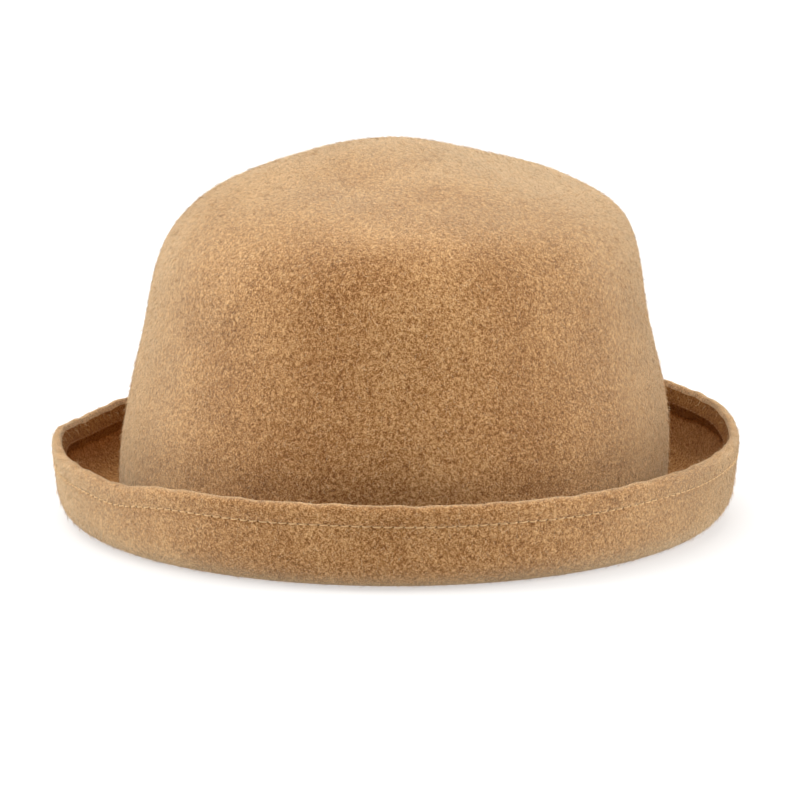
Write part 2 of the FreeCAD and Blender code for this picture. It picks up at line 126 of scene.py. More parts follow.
def round_corner(middle: Sequence[float], radius: float, start: float, end: float, count: int) -> Array:
    """Places on an arc of a section, angles in radians from +a towards +z."""
    angle = np.linspace(start, end, count)
    return np.array(middle, float) + radius * np.c_[angle * 0, np.cos(angle), np.sin(angle)]


def even_angles(a: float, b: float, count: int) -> Array:
    """Angles that cut an oval into equal lengths, from +X on.

    Args:
        a: half-width of the oval.
        b: half-length of the oval.
        count: number of lengths.

    Returns:
        The angle at which each length starts, in radians.
    """
    fine = np.linspace(0, TURN, 7201)
    middle = (fine[1:] + fine[:-1]) / 2
    reached = np.r_[0, np.cumsum(np.hypot(a * np.sin(middle), b * np.cos(middle)))]
    return np.interp(np.arange(count) / count * reached[-1], reached, fine)


def oval_perimeter(a: float, b: float) -> float:
    """Length round an oval of half-sizes a and b."""
    angle = np.linspace(0, TURN, 2001)
    return float(np.hypot(np.diff(a * np.cos(angle)), np.diff(b * np.sin(angle))).sum())


# ---- helpers for meshes -------------------------------------------------------------------------
def clear_selection() -> None:
    """Leave edit mode and select nothing."""
    if bpy.context.object and bpy.context.object.mode != "OBJECT":
        bpy.ops.object.mode_set(mode="OBJECT")
    bpy.ops.object.select_all(action="DESELECT")


def adopt(name: str) -> bpy.types.Object:
    """Name the primitive that was just added, and its mesh.

    Args:
        name: the name that both get.

    Returns:
        The primitive.
    """
    made = bpy.context.object
    made.name = name
    made.data.name = name
    return made


def read_places(piece: bpy.types.Object) -> Array:
    """Read where a piece's vertices are.

    Args:
        piece: the piece.

    Returns:
        Places in millimetres, one row each.
    """
    found = np.zeros(len(piece.data.vertices) * 3, np.float32)
    piece.data.vertices.foreach_get("co", found)
    return found.reshape(-1, 3).astype(float) / MM


def write_places(piece: bpy.types.Object, places: Array) -> None:
    """Set the vertex places of a piece, given in millimetres."""
    piece.data.vertices.foreach_set("co", (places * MM).astype(np.float32).ravel())
    piece.data.update()


def set_values(piece: bpy.types.Object, name: str, values: Array) -> None:
    """Store one number per vertex under a name."""
    layer = piece.data.attributes.new(name, "FLOAT", "POINT")
    layer.data.foreach_set("value", np.asarray(values, np.float32))


def get_values(piece: bpy.types.Object, name: str) -> Array:
    """Read the numbers that set_values stored.

    Args:
        piece: the piece.
        name: the name that they are stored under.

    Returns:
        One number per vertex.
    """
    found = np.zeros(len(piece.data.vertices), np.float32)
    piece.data.attributes[name].data.foreach_get("value", found)
    return found.astype(float)


def apply_modifier(piece: bpy.types.Object, kind: str, **settings: Any) -> None:
    """Put a modifier on a piece and apply it.

    Args:
        piece: the piece.
        kind: Blender's name of the modifier's type.
        **settings: the modifier's own properties.
    """
    clear_selection()
    piece.select_set(True)
    bpy.context.view_layer.objects.active = piece
    modifier = piece.modifiers.new(kind.title(), kind)
    for key, value in settings.items():
        setattr(modifier, key, value)
    bpy.ops.object.modifier_apply(modifier=modifier.name)


def close_skin(piece: bpy.types.Object, doubles: float = 0.004) -> None:
    """Merge doubles and turn every face outwards.

    Args:
        piece: the piece.
        doubles: vertices nearer than this become one.
    """
    clear_selection()
    piece.select_set(True)
    bpy.context.view_layer.objects.active = piece
    bpy.ops.object.mode_set(mode="EDIT")
    bpy.ops.mesh.select_all(action="SELECT")
    bpy.ops.mesh.remove_doubles(threshold=doubles * MM)
    bpy.ops.mesh.normals_make_consistent(inside=False)
    bpy.ops.object.mode_set(mode="OBJECT")


def smooth_faces(piece: bpy.types.Object) -> None:
    """Shade a piece smooth."""
    piece.data.polygons.foreach_set("use_smooth", np.ones(len(piece.data.polygons), bool))
    piece.data.update()


def shaped_grid(name: str, along: int, across: int, place: Place) -> bpy.types.Object:
    """Strip of cloth: a grid primitive whose vertices are laid where place says.

    Args:
        name: the piece's name.
        along: faces along the strip.
        across: faces across it.
        place: gives places in millimetres for shares 0 to 1 along and across the strip.

    Returns:
        The strip, with the grid's own UV map from 0 to 1 both ways.
    """
    clear_selection()
    bpy.ops.mesh.primitive_grid_add(x_subdivisions=along, y_subdivisions=across, size=1)
    piece = adopt(name)
    flat = np.zeros(len(piece.data.vertices) * 3, np.float32)
    piece.data.vertices.foreach_get("co", flat)
    flat = flat.reshape(-1, 3) + 0.5
    write_places(piece, place(flat[:, 0].astype(float), flat[:, 1].astype(float)))
    return piece


def stamp(pattern: bpy.types.Object, name: str, places: Array) -> bpy.types.Object:
    """Copy a small pattern many times into one piece.

    Args:
        pattern: the shape that repeats; it is removed afterwards.
        name: the new piece's name.
        places: vertex places in millimetres, by copy, vertex and axis.

    Returns:
        The new piece.
    """
    copies, count = places.shape[0:2]
    sides = [np.array(face.vertices) for face in pattern.data.polygons]
    faces = [(side + i * count).tolist() for i in range(copies) for side in sides]
    mesh = bpy.data.meshes.new(name)
    mesh.from_pydata((places.reshape(-1, 3) * MM).tolist(), [], faces)
    piece = bpy.data.objects.new(name, mesh)
    bpy.context.scene.collection.objects.link(piece)
    bpy.data.objects.remove(pattern)
    return piece


def finish_piece(piece: bpy.types.Object, materials: Sequence[bpy.types.Material],
                 nodes: Sequence[str] = ()) -> None:
    """Dress a piece, let it ride on the hat and hide the CAD nodes that it stands for.

    Args:
        piece: the piece.
        materials: its materials in the order of their indexes.
        nodes: CAD nodes that it stands for.
    """
    piece.data.materials.clear()
    for material in materials:
        piece.data.materials.append(material)
    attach(piece, BODY)
    if nodes:
        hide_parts(*nodes)
    triangles = sum(len(face.vertices) - 2 for face in piece.data.polygons)
    LOG.info("%-28s %7d triangles", piece.name, triangles)


# ---- helpers for materials ----------------------------------------------------------------------
def linear(hex_colour: str, alpha: float = 1.0) -> tuple[float, float, float, float]:
    """Turn an sRGB colour linear.

    Args:
        hex_colour: its value, such as #AABBCC.
        alpha: how opaque it is.

    Returns:
        Red, green, blue and alpha.
    """
    parts = [int(hex_colour[i:i + 2], 16) / 255 for i in (1, 3, 5)]
    r, g, b = (c / 12.92 if c <= 0.04045 else ((c + 0.055) / 1.055) ** 2.4 for c in parts)
    return r, g, b, alpha


def add_node(tree: bpy.types.NodeTree, kind: str, settings: dict[Any, Any] | None = None,
             links: dict[Any, bpy.types.NodeSocket] | None = None) -> bpy.types.Node:
    """Add a node with its settings and links.

    Args:
        tree: the material's node tree.
        kind: the node's type, without the ShaderNode that every type starts with.
        settings: values of its properties, or of its inputs where the key is an input's name or
            number. The key stops gives a colour ramp its places and sRGB hex colours.
        links: outputs to join, by the name or number of the input that each goes into.

    Returns:
        The node.
    """
    node = tree.nodes.new("ShaderNode" + kind)
    for key, value in (settings or {}).items():
        if key == "stops":
            band = node.color_ramp
            while len(band.elements) < len(value):
                band.elements.new(0.5)
            for element, (at, _) in zip(band.elements, value):
                element.position = at
            for element, (_, colour) in zip(band.elements, value):
                element.color = linear(colour)
        elif isinstance(key, str) and hasattr(node, key):
            setattr(node, key, value)
        else:
            node.inputs[key].default_value = value
    for key, output in (links or {}).items():
        tree.links.new(output, node.inputs[key])
    return node


@dataclass(frozen=True)
class Finish:
    """Base of every finish: a principled material whose subclass draws its pattern.

    Lengths in a finish are real ones in millimetres; relief is how deep its grain is.
    """

    name: str = "plain"
    colour: str = "#CCCCCC"
    roughness: float = 0.8
    specular: float = 0.3
    metallic: float = 0.0
    sheen: float = 0.0
    sheen_roughness: float = 0.5
    sheen_tint: str = "#FFFFFF"
    glow: float = 0.0

    def material(self) -> bpy.types.Material:
        """Make the material.

        Returns:
            The material, with the finish's own pattern joined to its shader.
        """
        made = bpy.data.materials.new(self.name)
        made.use_nodes = True
        tree = made.node_tree
        tree.nodes.clear()
        shader = add_node(tree, "BsdfPrincipled", {
            "Base Color": linear(self.colour), "Roughness": self.roughness,
            "Specular IOR Level": self.specular, "Metallic": self.metallic,
            "Sheen Weight": self.sheen, "Sheen Roughness": self.sheen_roughness,
            "Sheen Tint": linear(self.sheen_tint), "Emission Color": linear("#FFFFFF"),
            "Emission Strength": self.glow}, self.pattern(tree))
        add_node(tree, "OutputMaterial", links={"Surface": shader.outputs["BSDF"]})
        return made

    def pattern(self, tree: bpy.types.NodeTree) -> dict[str, bpy.types.NodeSocket]:
        """Draw nothing: a plain finish is the same all over."""
        return {}


@dataclass(frozen=True)
class WoolFelt(Finish):
    """Blocked wool felt in camel: fibres tangled in every direction, a soft bloom at grazing light.

    A real wool fibre is about 0.03 mm thick. The streaks stand for strands of a few dozen fibres,
    which is what the eye makes out at arm's length.
    """

    name: str = "Blocked wool felt"
    roughness: float = 0.95
    specular: float = 0.12
    sheen: float = 1.0
    sheen_roughness: float = 0.38
    sheen_tint: str = "#FFEFCB"
    strand_length: float = 0.72
    strand_width: float = 0.165
    strand_share: float = 0.78
    clump: float = 0.9
    cloud: float = 28.0
    cloud_share: float = 0.06
    spread: tuple[float, float] = (0.449, 0.551)
    shades: tuple[tuple[float, str], ...] = (
        (0.0, "#643A1B"), (0.33, "#8C5B2F"), (0.60, "#AC7944"), (1.0, "#DBB07C"))
    # Painted shade in the needle holes and along the seam's furrow.
    hole_shade_colour: str = "#5E3B1E"
    needle_run: float = 0.0
    bobbin_run: float = 0.0
    stitch_pitch: float = 3.2
    furrow_shade: float = 0.14
    relief: float = 0.9

    def strands(self, tree: bpy.types.NodeTree, place: bpy.types.NodeSocket) -> bpy.types.NodeSocket:
        """Streaks in six directions; the lightest and the darkest of them show at each place.

        Args:
            tree: the material's node tree.
            place: object coordinates.

        Returns:
            Socket about 0.5, lighter and darker along the strands.
        """
        golden = (1 + math.sqrt(5)) / 2
        ways = [Vector(v) for v in ((1, golden, 0), (-1, golden, 0), (0, 1, golden),
                                    (0, -1, golden), (golden, 0, 1), (golden, 0, -1))]
        streaks = []
        for i, way in enumerate(ways):
            turned = add_node(tree, "Mapping", {
                "vector_type": "TEXTURE", "Location": (0.017 * i, -0.011 * i, 0.007 * i),
                "Rotation": way.to_track_quat("X", "Z").to_euler(),
                "Scale": (self.strand_length * MM, self.strand_width * MM, self.strand_width * MM),
            }, {"Vector": place})
            streaks.append(add_node(tree, "TexNoise", {
                "Scale": 1.0, "Detail": 1.0, "Roughness": 0.6, "Distortion": 0.6,
            }, {"Vector": turned.outputs["Vector"]}).outputs["Fac"])
        ends = []
        for operation in ("MAXIMUM", "MINIMUM"):
            chosen = streaks[0]
            for streak in streaks[1:]:
                chosen = add_node(tree, "Math", {"operation": operation},
                                  {0: streak, 1: chosen}).outputs[0]
            ends.append(chosen)
        total = add_node(tree, "Math", {"operation": "ADD"}, {0: ends[0], 1: ends[1]}).outputs[0]
        return add_node(tree, "Math", {"operation": "MULTIPLY", 1: 0.5}, {0: total}).outputs[0]

    def holes(self, tree: bpy.types.NodeTree) -> bpy.types.NodeSocket:
        """Mask of painted shade: needle holes at the stitches' ends and the furrow that the thread draws
        in.

        Args:
            tree: the material's node tree.

        Returns:
            Socket that is 1 in a hole and 0 away from the seam.
        """
        uv = add_node(tree, "UVMap", {"uv_map": "surface"})
        split = add_node(tree, "SeparateXYZ", links={"Vector": uv.outputs["UV"]})
        turns = add_node(tree, "Math", {"operation": "FRACT"}, {0: split.outputs["X"]})
        centred = add_node(tree, "Math", {"operation": "SUBTRACT", 1: 0.5}, {0: turns.outputs[0]})
        aside = add_node(tree, "Math", {"operation": "ABSOLUTE"}, {0: centred.outputs[0]})
        # 0.6 draws the holes longer along the seam than across it.
        aside = add_node(tree, "Math", {"operation": "MULTIPLY", 1: 0.6 * self.stitch_pitch},
                         {0: aside.outputs[0]})
        gaps = []
        for run in (self.needle_run, self.bobbin_run):
            off = add_node(tree, "Math", {"operation": "SUBTRACT", 1: run}, {0: split.outputs["Y"]})
            gaps.append(add_node(tree, "Math", {"operation": "ABSOLUTE"}, {0: off.outputs[0]}).outputs[0])
        nearest = add_node(tree, "Math", {"operation": "MINIMUM"}, dict(enumerate(gaps))).outputs[0]
        flat = add_node(tree, "CombineXYZ", links={"X": aside.outputs[0], "Y": nearest})
        away = add_node(tree, "VectorMath", {"operation": "LENGTH"}, {0: flat.outputs["Vector"]})
        hole = add_node(tree, "MapRange", {"interpolation_type": "SMOOTHSTEP", "From Min": 0.32,
                                           "From Max": 0.06}, {"Value": away.outputs["Value"]})
        furrow = add_node(tree, "MapRange", {
            "interpolation_type": "SMOOTHSTEP", "From Min": 0.6, "From Max": 0.1,
            "To Max": self.furrow_shade}, {"Value": nearest})
        return add_node(tree, "Math", {"operation": "MAXIMUM"}, {
            0: hole.outputs["Result"], 1: furrow.outputs["Result"]}).outputs[0]

    def pattern(self, tree: bpy.types.NodeTree) -> dict[str, bpy.types.NodeSocket]:
        """Strands, clumps and slow clouds of shade, with painted shade in needle holes and seam furrow.

        Args:
            tree: the material's node tree.

        Returns:
            Colour and normal.
        """
        place = add_node(tree, "TexCoord").outputs["Object"]
        strands = self.strands(tree, place)
        clumps = add_node(tree, "TexNoise", {"Scale": 1 / (self.clump * MM), "Detail": 2.0,
                                             "Roughness": 0.6, "Distortion": 0.8}, {"Vector": place})
        clouds = add_node(tree, "TexNoise", {"Scale": 1 / (self.cloud * MM), "Detail": 2.0},
                          {"Vector": place})
        clumped = add_node(tree, "Math", {"operation": "MULTIPLY", 1: 1 - self.strand_share},
                           {0: clumps.outputs["Fac"]}).outputs[0]
        relief = add_node(tree, "Math", {"operation": "MULTIPLY_ADD", 1: self.strand_share},
                          {0: strands, 2: clumped}).outputs[0]
        shade = add_node(tree, "Math", {"operation": "MULTIPLY_ADD", 1: self.cloud_share},
                         {0: clouds.outputs["Fac"], 2: relief}).outputs[0]
        low, high = (end + self.cloud_share / 2 for end in self.spread)
        spread = add_node(tree, "MapRange", {"From Min": low, "From Max": high}, {"Value": shade})
        colour = add_node(tree, "ValToRGB", {"stops": self.shades}, {"Fac": spread.outputs["Result"]})
        holes = self.holes(tree)
        # Holes and furrow are mixed towards dark brown: painted shade.
        dark = add_node(tree, "Mix", {"data_type": "RGBA", "B": linear(self.hole_shade_colour)},
                        {"Factor": holes, "A": colour.outputs["Color"]})
        height = add_node(tree, "Math", {"operation": "MULTIPLY_ADD", 1: -0.5},
                          {0: holes, 2: relief}).outputs[0]
        grain = add_node(tree, "Bump", {"Strength": 0.7, "Distance": self.relief * MM},
                         {"Height": height})
        return {"Base Color": dark.outputs["Result"], "Normal": grain.outputs["Normal"]}


@dataclass(frozen=True)
class WoolFibre(Finish):
    """One dyed shade of the loose wool fibres that stand out of the felt: dull, with a faint halo."""

    colour: str = "#C8986A"
    roughness: float = 0.9
    specular: float = 0.2
    sheen: float = 0.35
    sheen_roughness: float = 0.4
    sheen_tint: str = "#FFEFCB"


@dataclass(frozen=True)
class SpunThread(Finish):
    """Spun polyester sewing thread: short staple fibres, dull, a little hairy."""

    light: str = "#E0B988"
    dark: str = "#B7905F"
    roughness: float = 0.75
    specular: float = 0.2
    sheen: float = 0.6
    sheen_tint: str = "#FFEFCB"
    staple: float = 0.12
    relief: float = 0.05

    def pattern(self, tree: bpy.types.NodeTree) -> dict[str, bpy.types.NodeSocket]:
        """Fine speckle of the staple fibres.

        Args:
            tree: the material's node tree.

        Returns:
            Colour and normal.
        """
        place = add_node(tree, "TexCoord").outputs["Object"]
        speckle = add_node(tree, "TexNoise", {"Scale": 1 / (self.staple * MM), "Detail": 2.0},
                           {"Vector": place}).outputs["Fac"]
        colour = add_node(tree, "ValToRGB", {"stops": ((0.3, self.dark), (0.6, self.light))},
                          {"Fac": speckle})
        grain = add_node(tree, "Bump", {"Strength": 0.6, "Distance": self.relief * MM},
                         {"Height": speckle})
        return {"Base Color": colour.outputs["Color"], "Normal": grain.outputs["Normal"]}


@dataclass(frozen=True)
class RibbedRibbon(Finish):
    """Grosgrain: thick weft ribs under a fine silky warp, so the ribs catch the light one by one."""

    light: str = "#5C3C26"
    dark: str = "#33200F"
    roughness: float = 0.55
    specular: float = 0.35
    sheen: float = 0.25
    ribbon_length: float = 582.0
    ribbon_width: float = 30.0
    rib: float = 0.9
    warp: float = 0.28
    rib_share: float = 0.75
    slub: float = 1.4
    relief: float = 0.12

    def pattern(self, tree: bpy.types.NodeTree) -> dict[str, bpy.types.NodeSocket]:
        """Warp threads across the ribs, darker between them as painted shade, and slow wear.

        Args:
            tree: the material's node tree.

        Returns:
            Colour and normal.
        """
        uv = add_node(tree, "UVMap", {"uv_map": "UVMap"})
        split = add_node(tree, "SeparateXYZ", links={"Vector": uv.outputs["UV"]})
        threads = []
        for axis, count in (("X", self.ribbon_length / self.rib), ("Y", self.ribbon_width / self.warp)):
            turned = add_node(tree, "Math", {"operation": "MULTIPLY", 1: count * math.pi},
                              {0: split.outputs[axis]})
            wave = add_node(tree, "Math", {"operation": "SINE"}, {0: turned.outputs[0]})
            threads.append(add_node(tree, "Math", {"operation": "ABSOLUTE"}, {0: wave.outputs[0]}))
        ribs, warps = (thread.outputs[0] for thread in threads)
        warped = add_node(tree, "Math", {"operation": "MULTIPLY", 1: 1 - self.rib_share}, {0: warps})
        relief = add_node(tree, "Math", {"operation": "MULTIPLY_ADD", 1: self.rib_share},
                          {0: ribs, 2: warped.outputs[0]}).outputs[0]
        place = add_node(tree, "TexCoord").outputs["Object"]
        slub = add_node(tree, "TexNoise", {"Scale": 1 / (self.slub * MM), "Detail": 3.0},
                        {"Vector": place}).outputs["Fac"]
        worn = add_node(tree, "Math", {"operation": "MULTIPLY", 1: 0.4}, {0: slub})
        # The colour darkens where ribs and warp threads dip: painted shade.
        shade = add_node(tree, "Math", {"operation": "MULTIPLY_ADD", 1: 0.7},
                         {0: relief, 2: worn.outputs[0]})
        colour = add_node(tree, "ValToRGB", {"stops": ((0.25, self.dark), (0.95, self.light))},
                          {"Fac": shade.outputs[0]})
        grain = add_node(tree, "Bump", {"Strength": 0.7, "Distance": self.relief * MM},
                         {"Height": relief})
        return {"Base Color": colour.outputs["Color"], "Normal": grain.outputs["Normal"]}


@dataclass(frozen=True)
class LabelCloth(Finish):
    """Narrow label cloth: a smooth, faintly glossy face of fine floats inside a selvedge border."""

    ground: str = "#D8CDB8"
    floats: str = "#EFE7D8"
    border: str = "#9A7B55"
    roughness: float = 0.45
    specular: float = 0.45
    sheen: float = 0.15
    width: float = 14.0
    height: float = 12.0
    thread: float = 0.3
    border_in: float = 1.0
    border_width: float = 0.5
    relief: float = 0.06

    def pattern(self, tree: bpy.types.NodeTree) -> dict[str, bpy.types.NodeSocket]:
        """Weave of floats, and a plain woven frame near the edge with nothing inside it.

        Args:
            tree: the material's node tree.

        Returns:
            Colour and normal.
        """
        uv = add_node(tree, "UVMap", {"uv_map": "UVMap"})
        size = add_node(tree, "VectorMath", {"operation": "MULTIPLY", 1: (self.width, self.height, 0)},
                        {0: uv.outputs["UV"]})
        split = add_node(tree, "SeparateXYZ", links={"Vector": size.outputs["Vector"]})
        weave = add_node(tree, "TexBrick", {
            "offset": 0.5, "Scale": 1.0, "Mortar Size": 0.12 * self.thread, "Mortar Smooth": 1.0,
            "Brick Width": 5 * self.thread, "Row Height": self.thread, "Color1": (1, 1, 1, 1),
            "Color2": (0.8, 0.8, 0.8, 1), "Mortar": (0, 0, 0, 1)}, {"Vector": size.outputs["Vector"]})
        edges = {}
        for i, (axis, reach) in enumerate((("X", self.width), ("Y", self.height))):
            centred = add_node(tree, "Math", {"operation": "SUBTRACT", 1: reach / 2},
                               {0: split.outputs[axis]})
            aside = add_node(tree, "Math", {"operation": "ABSOLUTE"}, {0: centred.outputs[0]})
            edges[i] = add_node(tree, "Math", {"operation": "SUBTRACT", 0: reach / 2},
                                {1: aside.outputs[0]}).outputs[0]
        inwards = add_node(tree, "Math", {"operation": "MINIMUM"}, edges)
        off = add_node(tree, "Math", {"operation": "SUBTRACT", 1: self.border_in},
                       {0: inwards.outputs[0]})
        off = add_node(tree, "Math", {"operation": "ABSOLUTE"}, {0: off.outputs[0]})
        frame_line = add_node(tree, "Math", {"operation": "LESS_THAN", 1: self.border_width / 2},
                              {0: off.outputs[0]})
        cloth = add_node(tree, "Mix", {"data_type": "RGBA", "A": linear(self.ground),
                                       "B": linear(self.floats)}, {"Factor": weave.outputs["Color"]})
        dressed = add_node(tree, "Mix", {"data_type": "RGBA", "B": linear(self.border)},
                           {"Factor": frame_line.outputs[0], "A": cloth.outputs["Result"]})
        grain = add_node(tree, "Bump", {"Strength": 0.6, "Distance": self.relief * MM},
                         {"Height": weave.outputs["Color"]})
        return {"Base Color": dressed.outputs["Result"], "Normal": grain.outputs["Normal"]}


@dataclass(frozen=True)
class DrawnMetal(Finish):
    """Drawn wire or tube: bare metal with die lines along it and a dull skin of oxide."""

    bright: str = "#C2C4C6"
    dull: str = "#8C8F93"
    metallic: float = 1.0
    roughness: float = 0.32
    specular: float = 0.5
    grain: float = 0.4
    relief: float = 0.02

    def pattern(self, tree: bpy.types.NodeTree) -> dict[str, bpy.types.NodeSocket]:
        """Patches of duller skin, and die lines that spread the highlight.

        Args:
            tree: the material's node tree.

        Returns:
            Colour, roughness and normal.
        """
        place = add_node(tree, "TexCoord").outputs["Object"]
        skin = add_node(tree, "TexNoise", {"Scale": 1 / (6 * self.grain * MM), "Detail": 3.0},
                        {"Vector": place}).outputs["Fac"]
        lines = add_node(tree, "TexNoise", {"Scale": 1 / (self.grain * MM), "Detail": 2.0},
                         {"Vector": place}).outputs["Fac"]
        colour = add_node(tree, "ValToRGB", {"stops": ((0.35, self.dull), (0.65, self.bright))},
                          {"Fac": skin})
        rough = add_node(tree, "MapRange", {"To Min": self.roughness - 0.08,
                                            "To Max": self.roughness + 0.16}, {"Value": skin})
        grain = add_node(tree, "Bump", {"Strength": 0.4, "Distance": self.relief * MM},
                         {"Height": lines})
        return {"Base Color": colour.outputs["Color"], "Roughness": rough.outputs["Result"],
                "Normal": grain.outputs["Normal"]}


# ---- the hat's own ovals and sections -----------------------------------------------------------
@dataclass(frozen=True)
class HatBlock:
    """Sizes that every piece of the hat follows, as in its design; a section is (shift, a, z).

    The last ones say how the worn-in brim settles. They go by degrees from +X: slump, perk and tuck
    are how far it drops, rises and moves in, each eased in and out; kinks are (at, width, drop), and
    waves are (height, how many round the hat, phase).
    """

    crown_a: float = 85.2
    oval_ratio: float = 1.197
    felt: float = 1.8
    height: float = 116.5
    wall_z: float = 12.0
    outline: tuple[tuple[float, float, float], ...] = (
        (30.0, 83.5, 85.2), (62.0, 76.7, 78.9), (88.0, 69.0, 73.6), (96.0, 62.0, 68.0),
        (102.0, 53.0, 57.5), (109.5, 34.0, 34.5), (113.4, 21.5, 21.0))
    gutter_r: float = 3.5
    flat_reach: float = 9.5
    curl_r: float = 11.0
    lean: float = math.radians(6.5)
    wall: float = 14.2
    channel_r: float = 0.8
    rim_r: float = 2.15
    hem_gap: float = 0.3
    hem_depth: float = 9.0
    stitch_depth: float = 6.0
    hem_pitch: float = 3.2
    band_pitch: float = 4.0
    band_gap: float = 0.4
    band_t: float = 0.6
    band_foot_z: float = 4.0
    band_height: float = 30.0
    band_top_in: float = 2.0
    band_top_shift: float = 0.4
    band_seam_z: float = 6.8
    lap: float = 14.0
    lap_step: float = 0.8
    slump: float = 3.2
    slump_from: tuple[float, float] = (95.0, 140.0)
    slump_to: tuple[float, float] = (200.0, 236.0)
    kinks: tuple[tuple[float, float, float], ...] = (
        (157, 10, 0.9), (179, 11, -1.6), (203, 8, -0.5), (218, 6, 0.9))
    perk: float = 2.1
    perk_from: tuple[float, float] = (-6.0, 18.0)
    perk_to: tuple[float, float] = (52.0, 85.0)
    tuck: float = 1.2
    tuck_from: tuple[float, float] = (120.0, 175.0)
    tuck_to: tuple[float, float] = (185.0, 240.0)
    waves: tuple[tuple[float, float, float], ...] = ((0.16, 5, 1.1), (0.1, 13, 2.0))
    rim_waves: tuple[tuple[float, float, float], ...] = ((0.15, 41, 0.0), (0.12, 67, 2.0))
    straight_span: float = 9.0

    @property
    def inner_a(self) -> float:
        """Half-width of the crown's foot, inside."""
        return self.crown_a - self.felt

    @property
    def foot_z(self) -> float:
        """Height at which the crown's upright wall starts."""
        return self.felt + self.gutter_r

    @property
    def curl_a(self) -> float:
        """Half-width at the middle of the curl."""
        return self.crown_a + self.flat_reach

    @property
    def stitch_s(self) -> float:
        """Stitch line, measured up the wall."""
        return self.wall + self.rim_r - self.stitch_depth

    @property
    def hem_edge_s(self) -> float:
        """Raw edge of the hem, measured up the wall."""
        return self.wall + self.rim_r - self.hem_depth

    @property
    def hem_back(self) -> float:
        """Outer face to the hem's gutter face."""
        return 2 * self.felt + self.hem_gap

    def brim_length(self, a: Array) -> Array:
        """Half-length of a brim ring."""
        return a + self.crown_a * (self.oval_ratio - 1)

    def crown_length(self, a: Array) -> Array:
        """Half-length of a crown ring."""
        return a * self.oval_ratio

    def break_length(self, a: Array) -> Array:
        """Half-length of a ring in the bend from the crown's inside to the brim's underside.

        Args:
            a: half-width of the ring.

        Returns:
            Its half-length.
        """
        share = (a - self.inner_a) / (self.gutter_r + self.felt)
        outer = self.brim_length(self.inner_a + self.gutter_r + self.felt)
        return self.crown_length(self.inner_a) * (1 - share) + outer * share

    def band_length(self, a: Array) -> Array:
        """Half-length of a sweatband ring."""
        return a + self.inner_a * (self.oval_ratio - 1)

    def wall_point(self, up: float, inset: float) -> Array:
        """Find a place on the upturned wall.

        Args:
            up: distance up the wall from the curl's end.
            inset: distance in from the outer face.

        Returns:
            The place, as (shift, a, z).
        """
        a = self.curl_a + (self.curl_r - inset) * math.cos(self.lean) + up * math.sin(self.lean)
        z = self.curl_r - (self.curl_r - inset) * math.sin(self.lean) + up * math.cos(self.lean)
        return np.array((0.0, a, z))

    def band_point(self, z: Array, inset: Array) -> tuple[Array, Array]:
        """Find the sweatband's ring at a height.

        Args:
            z: the height.
            inset: distance in from the ribbon's face on the felt.

        Returns:
            The ring's shift and half-width.
        """
        share = (z - self.band_foot_z) / self.band_height
        a = self.inner_a - self.band_gap - self.band_top_in * share - inset
        return self.band_top_shift * share, a

    def settle(self, places: Array, angle: Array) -> Array:
        """Let the worn-in brim down: its left side stands lower than its right one.

        Args:
            places: places on the brim.
            angle: oval angle of each, in radians from +X.

        Returns:
            The places, with the wall let down and the hem carried along whole.
        """
        degrees = np.degrees(angle) % 360

        def eased(start: tuple[float, float], end: tuple[float, float]) -> Array:
            """Ease in over one span of degrees and out over another."""
            return smoothstep(*start, degrees) * (1 - smoothstep(*end, degrees))

        wavy = sum(high * np.sin(count * angle + phase) for high, count, phase in self.waves)
        for at, width, drop in self.kinks:
            wavy += drop * np.exp(-((degrees - at) / width) ** 2)
        rim = smoothstep(20, 25, places[:, 2])
        wavy += rim * sum(high * np.sin(count * angle + phase) for high, count, phase in self.rim_waves)
        # The rim stays straight at the back, where the wire's joiner lies.
        wavy *= 1 - np.exp(-((degrees - math.degrees(BACK)) / self.straight_span) ** 2)
        drop = self.slump * eased(self.slump_from, self.slump_to) + wavy
        drop -= self.perk * eased(self.perk_from, self.perk_to)
        settled = places.copy()
        settled[:, 2] -= smoothstep(4, 17, places[:, 2]) * drop
        settled[:, 0] += smoothstep(0.5, 9, places[:, 2]) * self.tuck * eased(self.tuck_from, self.tuck_to)
        return settled


@dataclass(frozen=True)
class Stretch:
    """Part of the felt's section: its places, how a ring's length follows its width, and its name."""

    label: str
    places: Array
    length: Callable[[Array], Array]


